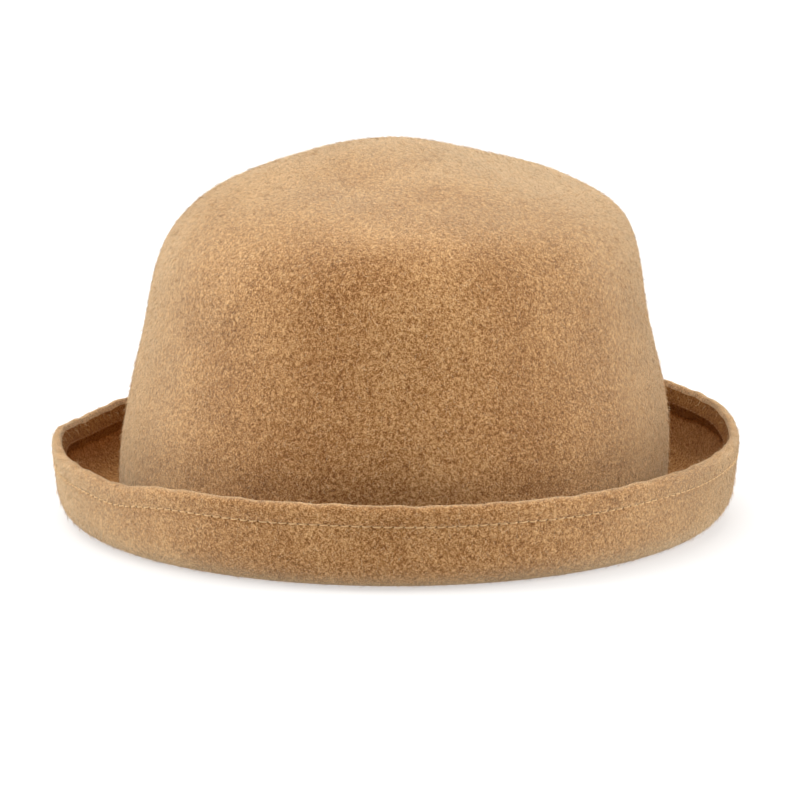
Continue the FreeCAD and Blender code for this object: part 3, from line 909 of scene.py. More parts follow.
# ---- felt ---------------------------------------------------------------------------------------
@dataclass
class FeltBody:
    """Crown, brim and turned-in hem, spun from one section and settled.

    A bump is (x, y, z, size, how far out) on the crown.
    """

    block: HatBlock
    crown_rings: int = 56
    lining_rings: int = 36
    raw_edge_r: float = 0.4
    pinch: float = 0.8
    skive: float = 0.85
    # How far past the rim's start the painted-shade copies of the felt reach.
    painted_shade_past: float = 1.6
    dimple: float = 0.3
    furrow: float = 0.06
    bumps: tuple[tuple[float, float, float, float, float], ...] = (
        (14, -40, 112, 10, 0.9), (-14, -46, 108, 16, -0.7), (34, -50, 104, 14, -0.6),
        (36, 6, 110, 24, -1.8), (67, 4, 94, 14, 1.0), (-50, 4, 104, 20, 0.7))

    def __post_init__(self) -> None:
        """Work out the stitch count, two columns of faces to a stitch."""
        line = self.block.wall_point(self.block.stitch_s, 0)
        rim = oval_perimeter(line[1], self.block.brim_length(line[1]))
        self.stitches: int = round(rim / self.block.hem_pitch)
        self.pitch: float = rim / self.stitches
        self.angles: Array = even_angles(line[1], self.block.brim_length(line[1]), 2 * self.stitches)
        self.marks: dict[str, tuple[float, float]] = {}

    def crown_curve(self) -> Array:
        """Draw the outside of the crown.

        Returns:
            Places from its foot to its top.
        """
        block = self.block
        knots = [(0, block.crown_a, block.foot_z), (0, block.crown_a, block.wall_z)]
        knots += [((right - left) / 2, (right + left) / 2, z) for z, left, right in block.outline]
        knots.append((0, 0, block.height))
        return spline_through(knots, (0, 0, 1), (0, -1, 0), self.crown_rings)

    def lining_curve(self, outside: Array) -> Array:
        """Draw the inside of the crown, one felt in from the outside.

        Args:
            outside: places on the outside, from the foot up.

        Returns:
            Places on the inside, thinned out.
        """
        along = np.gradient(outside, axis=0)
        run = np.hypot(along[:, 1], along[:, 2])
        inward = np.c_[along[:, 0] * 0, -along[:, 2], along[:, 1]] * (self.block.felt / run)[:, None]
        inside = outside + inward
        inside[-1] = (0, 0, self.block.height - self.block.felt)
        inside = inside[np.r_[inside[:-1, 1] > 1.5, True]]
        keep = np.round(np.linspace(0, len(inside) - 1, self.lining_rings)).astype(int)
        return inside[keep]

    def section(self) -> list[Stretch]:
        """Draw the whole section of the felt, from the crown's top outside to its top inside.

        Returns:
            Its stretches in order.
        """
        block = self.block
        outside = self.crown_curve()
        bead = block.wall_point(block.wall, block.rim_r)
        curl = (0, block.curl_a, block.curl_r)
        foot = (0, block.crown_a + block.gutter_r, block.foot_z)
        hem_inner = block.felt + block.hem_gap
        drops = [math.sqrt(block.channel_r ** 2 - (block.rim_r - inset) ** 2)
                 for inset in (block.felt, hem_inner)]
        mouth = block.wall_point(block.wall - drops[0], block.felt)
        hem_mouth = block.wall_point(block.wall - drops[1], hem_inner)
        start, end = (math.atan2(*(p - bead)[:0:-1]) for p in (mouth, hem_mouth))
        edge, r = block.hem_edge_s, self.raw_edge_r
        stitch = block.stitch_s
        # Rings stand close together beside the seam, where the thread draws the felt in.
        wall_up = [block.wall_point(s, 0) for s in (
            block.wall, 13.2, 12.3, 11.6, stitch + 0.7, stitch + 0.35, stitch, stitch - 0.35,
            stitch - 0.7, stitch - 1.3, stitch - 2.2, stitch - 3.4, 5.4, 3.6, 1.8, 0)]
        hem_up = [block.wall_point(s, block.hem_back) for s in (
            edge + r, edge + 1.0, edge + 1.9, stitch - 0.7, stitch - 0.35, stitch, stitch + 0.35,
            stitch + 0.7, stitch + 1.5)] + [block.wall_point(block.wall - 1, 4.2)]
        raw = [block.wall_point(edge + r, hem_inner), block.wall_point(edge + 0.1, hem_inner + 0.1),
               block.wall_point(edge, hem_inner + r), block.wall_point(edge - 0.05, hem_inner + 0.9),
               block.wall_point(edge, block.hem_back - r),
               block.wall_point(edge + 0.1, block.hem_back - 0.1), hem_up[0]]
        brim, crown = block.brim_length, block.crown_length
        below = round_corner(curl, block.curl_r, -block.lean, -QUARTER, 13)
        return [
            Stretch("crown", outside[::-1], crown),
            Stretch("gutter", round_corner(foot, block.gutter_r, 2 * QUARTER, 3 * QUARTER, 7), brim),
            Stretch("gutter", straight((0, foot[1], block.felt), (0, curl[1], block.felt), 4), brim),
            Stretch("gutter", round_corner(curl, block.curl_r - block.felt, -QUARTER, -block.lean, 10),
                    brim),
            Stretch("gutter", straight(block.wall_point(0, block.felt), mouth, 9), brim),
            Stretch("channel", round_corner(bead, block.channel_r, start, end + TURN, 11), brim),
            Stretch("channel", straight(hem_mouth, block.wall_point(edge + r, hem_inner), 6), brim),
            Stretch("hem", np.array(raw), brim),
            Stretch("hem", np.array(hem_up), brim),
            Stretch("rim", round_corner(bead, block.rim_r, 2 * QUARTER - block.lean, -block.lean, 15),
                    brim),
            Stretch("wall", np.array(wall_up), brim),
            Stretch("wall", below, brim),
            Stretch("under", straight((0, curl[1], 0), (0, foot[1], 0), 4), brim),
            Stretch("under", round_corner(foot, block.gutter_r + block.felt, 3 * QUARTER,
                                          2 * QUARTER, 8), block.break_length),
            Stretch("lining", self.lining_curve(outside), crown),
        ]

    def pressed(self, line: Array) -> Array:
        """Press the hem's back beside the wire, and thin the hem towards its raw edge.

        Args:
            line: places along the section.

        Returns:
            The same places, drawn towards the outer face near the rim.
        """
        block = self.block
        foot = block.wall_point(0, 0)
        up = np.array((math.sin(block.lean), math.cos(block.lean)))
        inward = np.array((-math.cos(block.lean), math.sin(block.lean)))
        away = line[:, 1:] - foot[1:]
        climb, inset = away @ up, away @ inward
        on_wall = (climb > 0) & (inset > -0.5) & (inset < block.hem_back + 1)
        beyond_wire = np.maximum(inset - block.rim_r - block.channel_r, 0)
        move = self.pinch * smoothstep(block.stitch_s + 0.5, block.wall, climb) * beyond_wire
        edge = 1 - smoothstep(block.hem_edge_s + 0.3, block.stitch_s - 0.6, climb)
        hem_inner = block.felt + block.hem_gap
        move += self.skive * edge * np.maximum(inset - hem_inner, 0) * (climb > block.hem_edge_s - 1)
        move *= on_wall
        pressed = line.copy()
        pressed[:, 1:] -= inward * move[:, None]
        return pressed

    def draw_section(self) -> bpy.types.Object:
        """Pull one vertex along the section, and note on each what its ring needs.

        Returns:
            The line, in the XZ plane, with its shift, half-length and run stored.
        """
        rows, lengths, runs = [], [], []
        run = 0.0
        for stretch in self.section():
            places = stretch.places if not rows else stretch.places[1:]
            started = run
            for place in places:
                if rows:
                    run += float(np.linalg.norm(place - rows[-1]))
                rows.append(place)
                lengths.append(float(stretch.length(place[1])))
                runs.append(run)
            self.marks[stretch.label] = (self.marks.get(stretch.label, (started, 0))[0], run)
        line = self.pressed(np.array(rows))
        clear_selection()
        bpy.ops.mesh.primitive_plane_add(size=MM)
        felt = adopt("blocked_felt")
        bpy.ops.object.mode_set(mode="EDIT")
        bpy.ops.mesh.merge(type="CENTER")
        flat = np.c_[line[:, 1], line[:, 1] * 0, line[:, 2]] * MM
        bpy.ops.transform.translate(value=flat[0])
        for step in np.diff(flat, axis=0):
            bpy.ops.mesh.extrude_region_move(TRANSFORM_OT_translate={"value": step})
        bpy.ops.object.mode_set(mode="OBJECT")
        drawn = read_places(felt)[:, None] - flat[None] / MM
        order = np.linalg.norm(drawn, axis=2).argmin(1)
        for name, values in (("shift", line[:, 0]), ("reach", lengths), ("run", runs)):
            set_values(felt, name, np.array(values)[order])
        return felt

    def spin(self, felt: bpy.types.Object) -> Array:
        """Spin the section into a closed skin and lay its rings on the hat's ovals.

        Args:
            felt: the drawn section.

        Returns:
            Column number of every vertex.
        """
        columns = len(self.angles)
        bpy.ops.object.mode_set(mode="EDIT")
        bpy.ops.mesh.select_all(action="SELECT")
        bpy.ops.mesh.spin(steps=columns, angle=TURN, center=(0, 0, 0), axis=(0, 0, 1))
        bpy.ops.object.mode_set(mode="OBJECT")
        close_skin(felt)
        places = read_places(felt)
        a = np.hypot(places[:, 0], places[:, 1])
        column = np.round(np.arctan2(places[:, 1], places[:, 0]) / TURN * columns).astype(int) % columns
        angle = self.angles[column]
        oval = np.c_[get_values(felt, "shift") + a * np.cos(angle),
                     get_values(felt, "reach") * np.sin(angle) * (a > 0.01), places[:, 2]]
        write_places(felt, oval)
        return column

    def dents(self, places: Array) -> Array:
        """Hand-blocked unevenness of the crown.

        Args:
            places: places on the felt, in millimetres.

        Returns:
            How far each moves out, by vertex and axis.
        """
        upper = smoothstep(14, 50, places[:, 2]) * smoothstep(-110, -60, -np.abs(places[:, 0]))
        out = places / np.array((1, 1.44, 1)) - (0, 0, 40)
        out[:, 2] = np.maximum(out[:, 2], 0)
        out /= np.linalg.norm(out, axis=1, keepdims=True) + 1e-9
        swell = 0.35 * soft_noise(places, 70, 3) + 0.12 * soft_noise(places, 28, 4)
        for *middle, size, depth in self.bumps:
            away = np.linalg.norm(places - middle, axis=1) / size
            swell += depth * np.exp(-away * away)
        return out * (swell * upper)[:, None]

    def sew_in(self, felt: bpy.types.Object, places: Array, column: Array) -> Array:
        """Pull the felt in along the seam: a furrow, and a dimple at each needle hole.

        Args:
            felt: the felt, with its normals up to date.
            places: places on the felt.
            column: column number of every vertex.

        Returns:
            The places, with the hem drawn in.
        """
        normals = np.zeros(len(places) * 3, np.float32)
        felt.data.vertices.foreach_get("normal", normals)
        normals = normals.reshape(-1, 3).astype(float)
        run = get_values(felt, "run")
        hole = (column % 2 == 1).astype(float)
        pulled = places.copy()
        for seam in (self.needle_run, self.bobbin_run):
            near = np.exp(-((run - seam) / 0.55) ** 2)
            wide = np.exp(-((run - seam) / 1.2) ** 2)
            depth = self.furrow * wide + self.dimple * hole * near
            pulled -= normals * depth[:, None]
        raw = (run > self.marks["hem"][0] - 0.4) & (run < self.marks["hem"][0] + 3.0)
        pulled[raw, 2] += 0.22 * soft_noise(places[raw], 9, 8)
        return pulled

    def lay_map(self, felt: bpy.types.Object, column: Array) -> None:
        """UV map in stitches round the hat and millimetres along the section.

        Args:
            felt: the felt.
            column: column number of every vertex.
        """
        mesh = felt.data
        while mesh.uv_layers:
            mesh.uv_layers.remove(mesh.uv_layers[0])
        layer = mesh.uv_layers.new(name="surface")
        corner = np.zeros(len(mesh.loops), np.int32)
        mesh.loops.foreach_get("vertex_index", corner)
        start = np.zeros(len(mesh.polygons), np.int32)
        mesh.polygons.foreach_get("loop_start", start)
        total = np.diff(np.r_[start, len(corner)])
        turn = column[corner].astype(float)
        spread = np.maximum.reduceat(turn, start) - np.minimum.reduceat(turn, start)
        wraps = np.repeat(spread > len(self.angles) / 2, total)
        turn[wraps & (turn < len(self.angles) / 2)] += len(self.angles)
        run = get_values(felt, "run")[corner]
        layer.data.foreach_set("uv", np.c_[turn / 2, run].astype(np.float32).ravel())

    def build(self) -> bpy.types.Object:
        """Make the felt.

        Returns:
            The dressed piece.
        """
        felt = self.draw_section()
        wall_start = self.marks["rim"][1]
        self.needle_run: float = wall_start + self.block.wall - self.block.stitch_s
        self.bobbin_run: float = self.marks["rim"][0] - (self.block.wall - self.block.stitch_s)
        column = self.spin(felt)
        angle = self.angles[column]
        places = read_places(felt)
        crown = np.hypot(places[:, 0], places[:, 1] / self.block.oval_ratio) < self.block.crown_a + 1
        settled = self.block.settle(places, angle)
        places = np.where(crown[:, None], places + self.dents(places), settled)
        write_places(felt, places)
        write_places(felt, self.sew_in(felt, places, column))
        self.lay_map(felt, column)
        smooth_faces(felt)
        dress = WoolFelt(needle_run=self.needle_run, bobbin_run=self.bobbin_run, stitch_pitch=self.pitch)
        # Painted shade: the brim's inside gets a felt copy with almost no sheen, the hem one that is
        # darker too.
        shaded = replace(dress, name="Blocked wool felt, painted_shade", sheen=0.12, shades=(
            (0.0, "#6B401C"), (0.33, "#96602D"), (0.60, "#B67F44"), (1.0, "#CC9F6B")))
        # Painted shade: the hem's copy is darker still and all but sheenless.
        darker_painted_shade = replace(dress, name="Blocked wool felt, ironed hem", sheen=0.02, shades=(
            (0.0, "#55310F"), (0.33, "#744619"), (0.60, "#8F602C"), (1.0, "#A97C4A")))
        finish_piece(felt, [look.material() for look in (dress, shaded, darker_painted_shade)],
                     ["felt_body"])
        self.set_apart(felt)
        return felt

    def set_apart(self, felt: bpy.types.Object) -> None:
        """Give the brim's inside and the hem their duller felt copies: painted shade inside the curl.

        Args:
            felt: the felt.
        """
        mesh = felt.data
        corner = np.zeros(len(mesh.loops), np.int32)
        mesh.loops.foreach_get("vertex_index", corner)
        start = np.zeros(len(mesh.polygons), np.int32)
        mesh.polygons.foreach_get("loop_start", start)
        run = get_values(felt, "run")[corner]
        low, high = np.minimum.reduceat(run, start), np.maximum.reduceat(run, start)
        # Faces in the curl get painted shade: slot 1 in the gutter, slot 2, darker, on the hem.
        inner = high < self.marks["rim"][0] + self.painted_shade_past
        slot = np.select([inner & (low > self.marks["hem"][0] - 0.01),
                          inner & (low > self.marks["gutter"][0])], [2, 1], 0)
        mesh.polygons.foreach_set("material_index", slot.astype(np.int32))


class FibreShade(Enum):
    """Dyed shades that are blended in a camel wool, as sRGB; UMBER is painted shade inside the brim."""

    PALE = "#F0D2A4"
    CAMEL = "#B38252"
    TOBACCO = "#6E4424"
    # Used only by the fibres inside the brim: painted shade.
    UMBER = "#55341A"


@dataclass
class Nap:
    """Loose fibres over one part of the felt. Each is drawn a few times as thick as real wool, to show."""

    name: str
    regions: tuple[str, ...]
    count: int
    seed: int
    length: tuple[float, float] = (0.9, 2.9)
    thickness: float = 0.05
    lift: tuple[float, float] = (0.12, 0.62)
    shares: tuple[float, float, float] = (0.42, 0.3, 0.28)

    def fibre(self) -> bpy.types.Object:
        """Draw one fibre: a three-sided cone along X with a ring at its middle, in its own units.

        Returns:
            The pattern that is copied.
        """
        clear_selection()
        bpy.ops.mesh.primitive_cone_add(vertices=3, radius1=1, radius2=0, depth=1, location=(0.5, 0, 0),
                                        rotation=(0, QUARTER, 0))
        made = adopt("fibre_pattern")
        bpy.ops.object.transform_apply(location=True, rotation=True, scale=True)
        bpy.ops.object.mode_set(mode="EDIT")
        bpy.ops.mesh.select_all(action="SELECT")
        bpy.ops.mesh.bisect(plane_co=(0.5, 0, 0), plane_no=(1, 0, 0))
        bpy.ops.object.mode_set(mode="OBJECT")
        return made

    def roots(self, felt: bpy.types.Object, marks: dict[str, tuple[float, float]],
              draw: np.random.Generator) -> tuple[Array, Array]:
        """Even random places on the felt's faces.

        Args:
            felt: the felt.
            marks: run along the section at which each region starts and ends.
            draw: source of random numbers.

        Returns:
            Root places and the felt's normals there.
        """
        mesh = felt.data
        mesh.calc_loop_triangles()
        sides = np.zeros(len(mesh.loop_triangles) * 3, np.int32)
        mesh.loop_triangles.foreach_get("vertices", sides)
        sides = sides.reshape(-1, 3)
        places = read_places(felt)
        normals = np.zeros(len(places) * 3, np.float32)
        mesh.vertices.foreach_get("normal", normals)
        normals = normals.reshape(-1, 3).astype(float)
        run = get_values(felt, "run")[sides].mean(1)
        inside = np.zeros(len(sides), bool)
        for region in self.regions:
            inside |= (run > marks[region][0]) & (run < marks[region][1])
        sides = sides[inside]
        corners = places[sides]
        area = np.linalg.norm(np.cross(corners[:, 1] - corners[:, 0], corners[:, 2] - corners[:, 0]),
                              axis=1)
        picked = draw.choice(len(sides), self.count, p=area / area.sum())
        weight = draw.dirichlet((1, 1, 1), self.count)
        root = (corners[picked] * weight[:, :, None]).sum(1)
        normal = (normals[sides[picked]] * weight[:, :, None]).sum(1)
        return root, normal / np.linalg.norm(normal, axis=1, keepdims=True)

    def build(self, felt: bpy.types.Object, marks: dict[str, tuple[float, float]],
              shades: Sequence[bpy.types.Material]) -> bpy.types.Object:
        """Scatter the fibres.

        Args:
            felt: the felt that they grow from.
            marks: run along the section at which each region starts and ends.
            shades: the fibres' materials, palest first.

        Returns:
            The dressed piece.
        """
        draw = np.random.default_rng(self.seed)
        root, up = self.roots(felt, marks, draw)
        helper = np.where(np.abs(up[:, 2:3]) > 0.95, (1.0, 0, 0), (0, 0, 1.0))
        level = np.cross(helper, up)
        level /= np.linalg.norm(level, axis=1, keepdims=True)
        steep = np.cross(up, level)
        way = draw.normal(-QUARTER, 1.1, self.count)[:, None]
        along = level * np.cos(way) + steep * np.sin(way)
        side = np.cross(up, along)
        long = draw.uniform(*self.length, self.count)[:, None, None]
        lift = (self.lift[0] + (self.lift[1] - self.lift[0]) * draw.beta(1.2, 3.0, self.count))
        lift = lift[:, None, None]
        sway = draw.normal(0, 0.22, self.count)[:, None, None]
        pattern = self.fibre()
        x, y, z = (read_places(pattern) * MM).T[:, None, :, None]
        thick = self.thickness * draw.uniform(0.7, 1.2, self.count)[:, None, None]
        places = (root - up * 0.12)[:, None] + along[:, None] * (long * x)
        places = places + side[:, None] * (thick * y + sway * long * x * x)
        places = places + up[:, None] * (thick * z + long * (2.2 * lift * x - 1.2 * lift * x * x))
        faces = len(pattern.data.polygons)
        piece = stamp(pattern, self.name, places)
        shade = np.repeat(draw.choice(len(shades), self.count, p=self.shares), faces)
        finish_piece(piece, shades)
        piece.data.polygons.foreach_set("material_index", shade.astype(np.int32))
        smooth_faces(piece)
        return piece


# ---- stitches -----------------------------------------------------------------------------------
class Facing(Enum):
    """Side of the hat that a row of stitches shows on."""

    OUT = 1
    IN = -1


@dataclass
class StitchRow:
    """Row of lockstitches in plied thread; each dips into the cloth at both ends."""

    name: str
    slot: str
    finish: SpunThread
    seed: int
    thread: float = 0.38
    rise: float = 0.22
    dip: float = 0.5
    fill: float = 0.86
    sides: int = 6
    steps: int = 6
    slant: float = math.radians(3.5)

    def stitch(self, length: float) -> bpy.types.Object:
        """One stitch along X over the plane z = 0, its plies twisted.

        Args:
            length: distance between its ends.

        Returns:
            The pattern that the row repeats.
        """
        sagitta = self.rise + self.dip
        half = length / 2
        radius = (half ** 2 + sagitta ** 2) / (2 * sagitta)
        spread = math.asin(half / radius)
        clear_selection()
        bpy.ops.mesh.primitive_circle_add(
            vertices=self.sides, radius=self.thread / 2 * MM, fill_type="NOTHING",
            location=(0, 0, self.rise * MM), rotation=(0, QUARTER, 0))
        made = adopt("stitch_pattern")
        bpy.ops.object.transform_apply(location=True, rotation=True, scale=True)
        bpy.ops.object.mode_set(mode="EDIT")
        bpy.ops.mesh.select_all(action="SELECT")
        bpy.ops.mesh.spin(steps=self.steps, angle=2 * spread,
                          center=(0, 0, (self.rise - radius) * MM), axis=(0, 1, 0))
        bpy.ops.mesh.select_all(action="SELECT")
        bpy.ops.mesh.fill_holes(sides=self.sides)
        bpy.ops.object.mode_set(mode="OBJECT")
        close_skin(made, 0.001)
        places = read_places(made)
        middle = self.rise - radius
        turned = np.arctan2(places[:, 0], places[:, 2] - middle)
        turned -= (turned.min() + turned.max()) / 2
        out = np.hypot(places[:, 0], places[:, 2] - middle) - radius
        aside = places[:, 1]
        ply = np.arctan2(aside, out)
        thick = np.hypot(aside, out) * (1 + 0.2 * np.cos(3 * ply))
        end = np.abs(turned) / spread
        thick *= 1 - 0.25 * smoothstep(0.7, 1.0, end)
        ply = ply + turned / spread * 1.6
        reach = radius + thick * np.cos(ply)
        write_places(made, np.c_[reach * np.sin(turned), thick * np.sin(ply),
                                 middle + reach * np.cos(turned)])
        return made

    def build(self, origin: Array, along: Array, out: Array, spacing: float,
              node: str) -> bpy.types.Object:
        """Sew the row.

        Args:
            origin: middle of every stitch on the cloth's face.
            along: direction in which each runs.
            out: direction in which the cloth faces there.
            spacing: distance from one stitch to the next.
            node: CAD node that the row stands for.

        Returns:
            The dressed piece.
        """
        draw = np.random.default_rng(self.seed)
        count = len(origin)
        pattern = self.stitch(spacing * self.fill)
        local = read_places(pattern)
        along = along / np.linalg.norm(along, axis=1, keepdims=True)
        side = np.cross(out, along)
        side /= np.linalg.norm(side, axis=1, keepdims=True)
        out = np.cross(along, side)
        yaw = self.slant + draw.normal(0, 0.05, count)[:, None]
        run = along * np.cos(yaw) + side * np.sin(yaw)
        cross = side * np.cos(yaw) - along * np.sin(yaw)
        height = draw.normal(1, 0.22, count)[:, None, None]
        places = origin[:, None] + run[:, None] * local[None, :, 0:1]
        places = places + cross[:, None] * local[None, :, 1:2]
        places = places + out[:, None] * (local[None, :, 2:3] * height)
        piece = stamp(pattern, self.name, places)
        smooth_faces(piece)
        finish_piece(piece, [self.finish.material()], [node])
        return piece


@dataclass
class Seams:
    """All the hat's sewing: the hem's two faces, the sweatband's two faces and the ribbon's lap."""

    block: HatBlock
    hem_count: int
    draw_in: float = 0.12
    lap_rows: int = 6
    lap_margin: float = 3.0
    lap_in: float = 2.0

    def around(self, section: Sequence[float], length: Callable[[Array], Array], count: int, lean: float,
               facing: Facing, settles: bool) -> tuple[Array, Array, Array, float]:
        """Places of a row of stitches round the oval.

        Args:
            section: shift, half-width and height of the row.
            length: half-length of a ring by its half-width.
            count: number of stitches.
            lean: outward lean of the face.
            facing: side on which the row shows.
            settles: whether the row goes down with the worn-in brim.

        Returns:
            Middles, directions, facings and the spacing.
        """
        shift, a, z = section
        b = float(length(a))
        angle = even_angles(a, b, count)

        def on(t: Array) -> Array:
            """Places on the ring at oval angles t."""
            places = np.c_[shift + a * np.cos(t), b * np.sin(t), t * 0 + z]
            return self.block.settle(places, t) if settles else places

        step = 0.004
        along = on(angle + step) - on(angle - step)
        level = np.c_[b * np.cos(angle), a * np.sin(angle), angle * 0]
        level /= np.linalg.norm(level, axis=1, keepdims=True)
        out = facing.value * (level * math.cos(lean) - np.array((0, 0, math.sin(lean))))
        return on(angle), along, out, oval_perimeter(a, b) / count

    def build(self) -> None:
        """Sew every row."""
        block = self.block
        tan = SpunThread(name="Spun polyester thread, tan")
        # Darker, duller thread for the rows in the brim's curl: painted shade.
        under = SpunThread(name="Spun polyester thread, tobacco", light="#93663A", dark="#6E4726",
                           sheen=0.1)
        brown = SpunThread(name="Spun polyester thread, brown", light="#6A482C", dark="#3F2916")
        seam = block.stitch_s
        row = StitchRow("hem_needle_row", "hem_thread", tan, 21)
        row.build(*self.around(block.wall_point(seam, self.draw_in), block.brim_length, self.hem_count,
                               block.lean, Facing.OUT, True), "hem_needle_stitches")
        row = StitchRow("hem_bobbin_row", "hem_thread", under, 22)
        row.build(*self.around(block.wall_point(seam, block.hem_back - self.draw_in), block.brim_length,
                               self.hem_count, block.lean, Facing.IN, True), "hem_bobbin_stitches")
        shift, a = block.band_point(block.band_seam_z, block.band_t)
        count = round(oval_perimeter(a, block.band_length(a)) / block.band_pitch)
        row = StitchRow("band_needle_row", "band_thread", brown, 23, dip=0.35)
        row.build(*self.around((shift, a, block.band_seam_z), block.band_length, count, 0.0, Facing.IN,
                               False), "sweatband_needle_stitches")
        row = StitchRow("band_bobbin_row", "hem_thread", under, 24, dip=0.35)
        row.build(*self.around((0, block.crown_a, block.band_seam_z + 0.6), block.crown_length, count,
                               0.0, Facing.OUT, False), "sweatband_bobbin_stitches")
        self.close_lap(brown)

    def close_lap(self, finish: SpunThread) -> None:
        """Upright row through the ribbon's lap.

        Args:
            finish: the thread.
        """
        block = self.block
        angle = BACK + (block.lap / 2 - self.lap_in) / block.inner_a
        pitch = (block.band_height - 2 * self.lap_margin) / self.lap_rows
        z = block.band_foot_z + self.lap_margin + pitch * (np.arange(self.lap_rows) + 0.5)
        shift, a = block.band_point(z, block.band_t + block.lap_step)
        b = block.band_length(a)
        origin = np.c_[shift + a * math.cos(angle), b * math.sin(angle), z]
        out = np.c_[-b * math.cos(angle), -a * math.sin(angle), z * 0]
        out /= np.linalg.norm(out, axis=1, keepdims=True)
        along = np.tile((0.0, 0.0, 1.0), (self.lap_rows, 1))
        row = StitchRow("lap_row", "band_thread", finish, 25, dip=0.35)
        row.build(origin, along, out, pitch, "sweatband_joint_stitches")


# ---- brim wire ----------------------------------------------------------------------------------
@dataclass
class BrimWire:
    """Spring-steel wire in the hem's fold, and the tube that joins its ends."""

    block: HatBlock
    wire: float = 0.9
    gap: float = 1.5
    sides: int = 10
    steps: int = 300

    def build(self) -> bpy.types.Object:
        """Bend the wire round the rim.

        Returns:
            The dressed piece.
        """
        block = self.block
        bead = block.wall_point(block.wall, block.rim_r)
        half = self.gap / 2 / bead[1]
        clear_selection()
        bpy.ops.mesh.primitive_circle_add(
            vertices=self.sides, radius=self.wire / 2 * MM, fill_type="NOTHING",
            location=(bead[1] * MM, 0, bead[2] * MM), rotation=(QUARTER, 0, 0))
        piece = adopt("rim_wire")
        bpy.ops.object.transform_apply(location=True, rotation=True, scale=True)
        bpy.ops.object.mode_set(mode="EDIT")
        bpy.ops.mesh.select_all(action="SELECT")
        bpy.ops.mesh.spin(steps=self.steps, angle=TURN - 2 * half, center=(0, 0, 0), axis=(0, 0, 1))
        bpy.ops.mesh.select_all(action="SELECT")
        bpy.ops.mesh.fill_holes(sides=self.sides)
        bpy.ops.object.mode_set(mode="OBJECT")
        close_skin(piece)
        places = read_places(piece)
        turned = np.arctan2(places[:, 1], places[:, 0]) % TURN
        turned = np.where(turned > TURN - half, 0, turned)
        angle = BACK + half + turned
        a = np.hypot(places[:, 0], places[:, 1])
        laid = np.c_[a * np.cos(angle), block.brim_length(a) * np.sin(angle), places[:, 2]]
        write_places(piece, block.settle(laid, angle))
        close_skin(piece, 0.001)
        smooth_faces(piece)
        steel = DrawnMetal(name="Drawn spring steel")
        finish_piece(piece, [steel.material()], ["brim_wire"])
        brass = DrawnMetal(name="Crimped brass tube", bright="#D9B25E", dull="#A47C36", roughness=0.36)
        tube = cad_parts["wire_joiner"]
        tube.data.materials.clear()
        tube.data.materials.append(brass.material())
        return piece


# ---- ribbon -------------------------------------------------------------------------------------
@dataclass
class Sweatband:
    """Grosgrain ribbon round the inside of the opening, its ends lapped at the back."""

    block: HatBlock
    rib: float = 0.9
    rib_depth: float = 0.07
    across: int = 12
    ease: float = 0.16

    def build(self) -> bpy.types.Object:
        """Sew the ribbon in.

        Returns:
            The dressed piece.
        """
        block = self.block
        _, a = block.band_point(block.band_foot_z + block.band_height / 2, block.band_t / 2)
        length = oval_perimeter(a, block.band_length(a)) + block.lap
        ribs = round(length / self.rib)
        half = block.lap / 2 / block.inner_a
        lap = block.lap / block.inner_a

        def place(along: Array, across: Array) -> Array:
            """Lay the ribbon on the inside oval, with its ribs, its wavy selvedges and its lap.

            Args:
                along: share of its length.
                across: share of its width, from its foot.

            Returns:
                The places.
            """
            angle = BACK - half + (TURN + 2 * half) * along
            up = np.round(along * 2 * ribs).astype(int) % 2
            selvedge = smoothstep(0.93, 1.0, np.abs(2 * across - 1))
            z = block.band_foot_z + 0.15 + (block.band_height - 0.3) * across
            z = z + 0.13 * selvedge * up * np.sign(across - 0.5)
            past = smoothstep(BACK + TURN - lap, BACK + TURN, angle)
            first = 1 - smoothstep(BACK - half, BACK + half, angle)
            ease = self.ease * across ** 2 * (1 + np.sin(17 * angle) * np.sin(5 * angle + 1))
            seam = np.exp(-((z - block.band_seam_z) / 1.4) ** 2)
            inset = block.band_t / 2 + self.rib_depth * (up - 0.5) * (1 - 0.6 * seam)
            inset = inset + block.lap_step * past + ease - 0.08 * seam - 0.1 * first
            shift, wide = block.band_point(z, inset)
            return np.c_[shift + wide * np.cos(angle), block.band_length(wide) * np.sin(angle), z]

        piece = shaped_grid("sweatband_ribbon", 2 * ribs, self.across, place)
        apply_modifier(piece, "SOLIDIFY", thickness=0.5 * MM, offset=0.0)
        smooth_faces(piece)
        dress = RibbedRibbon(name="Grosgrain ribbon", ribbon_length=length, rib=self.rib)
        finish_piece(piece, [dress.material()], ["sweatband"])
        return piece


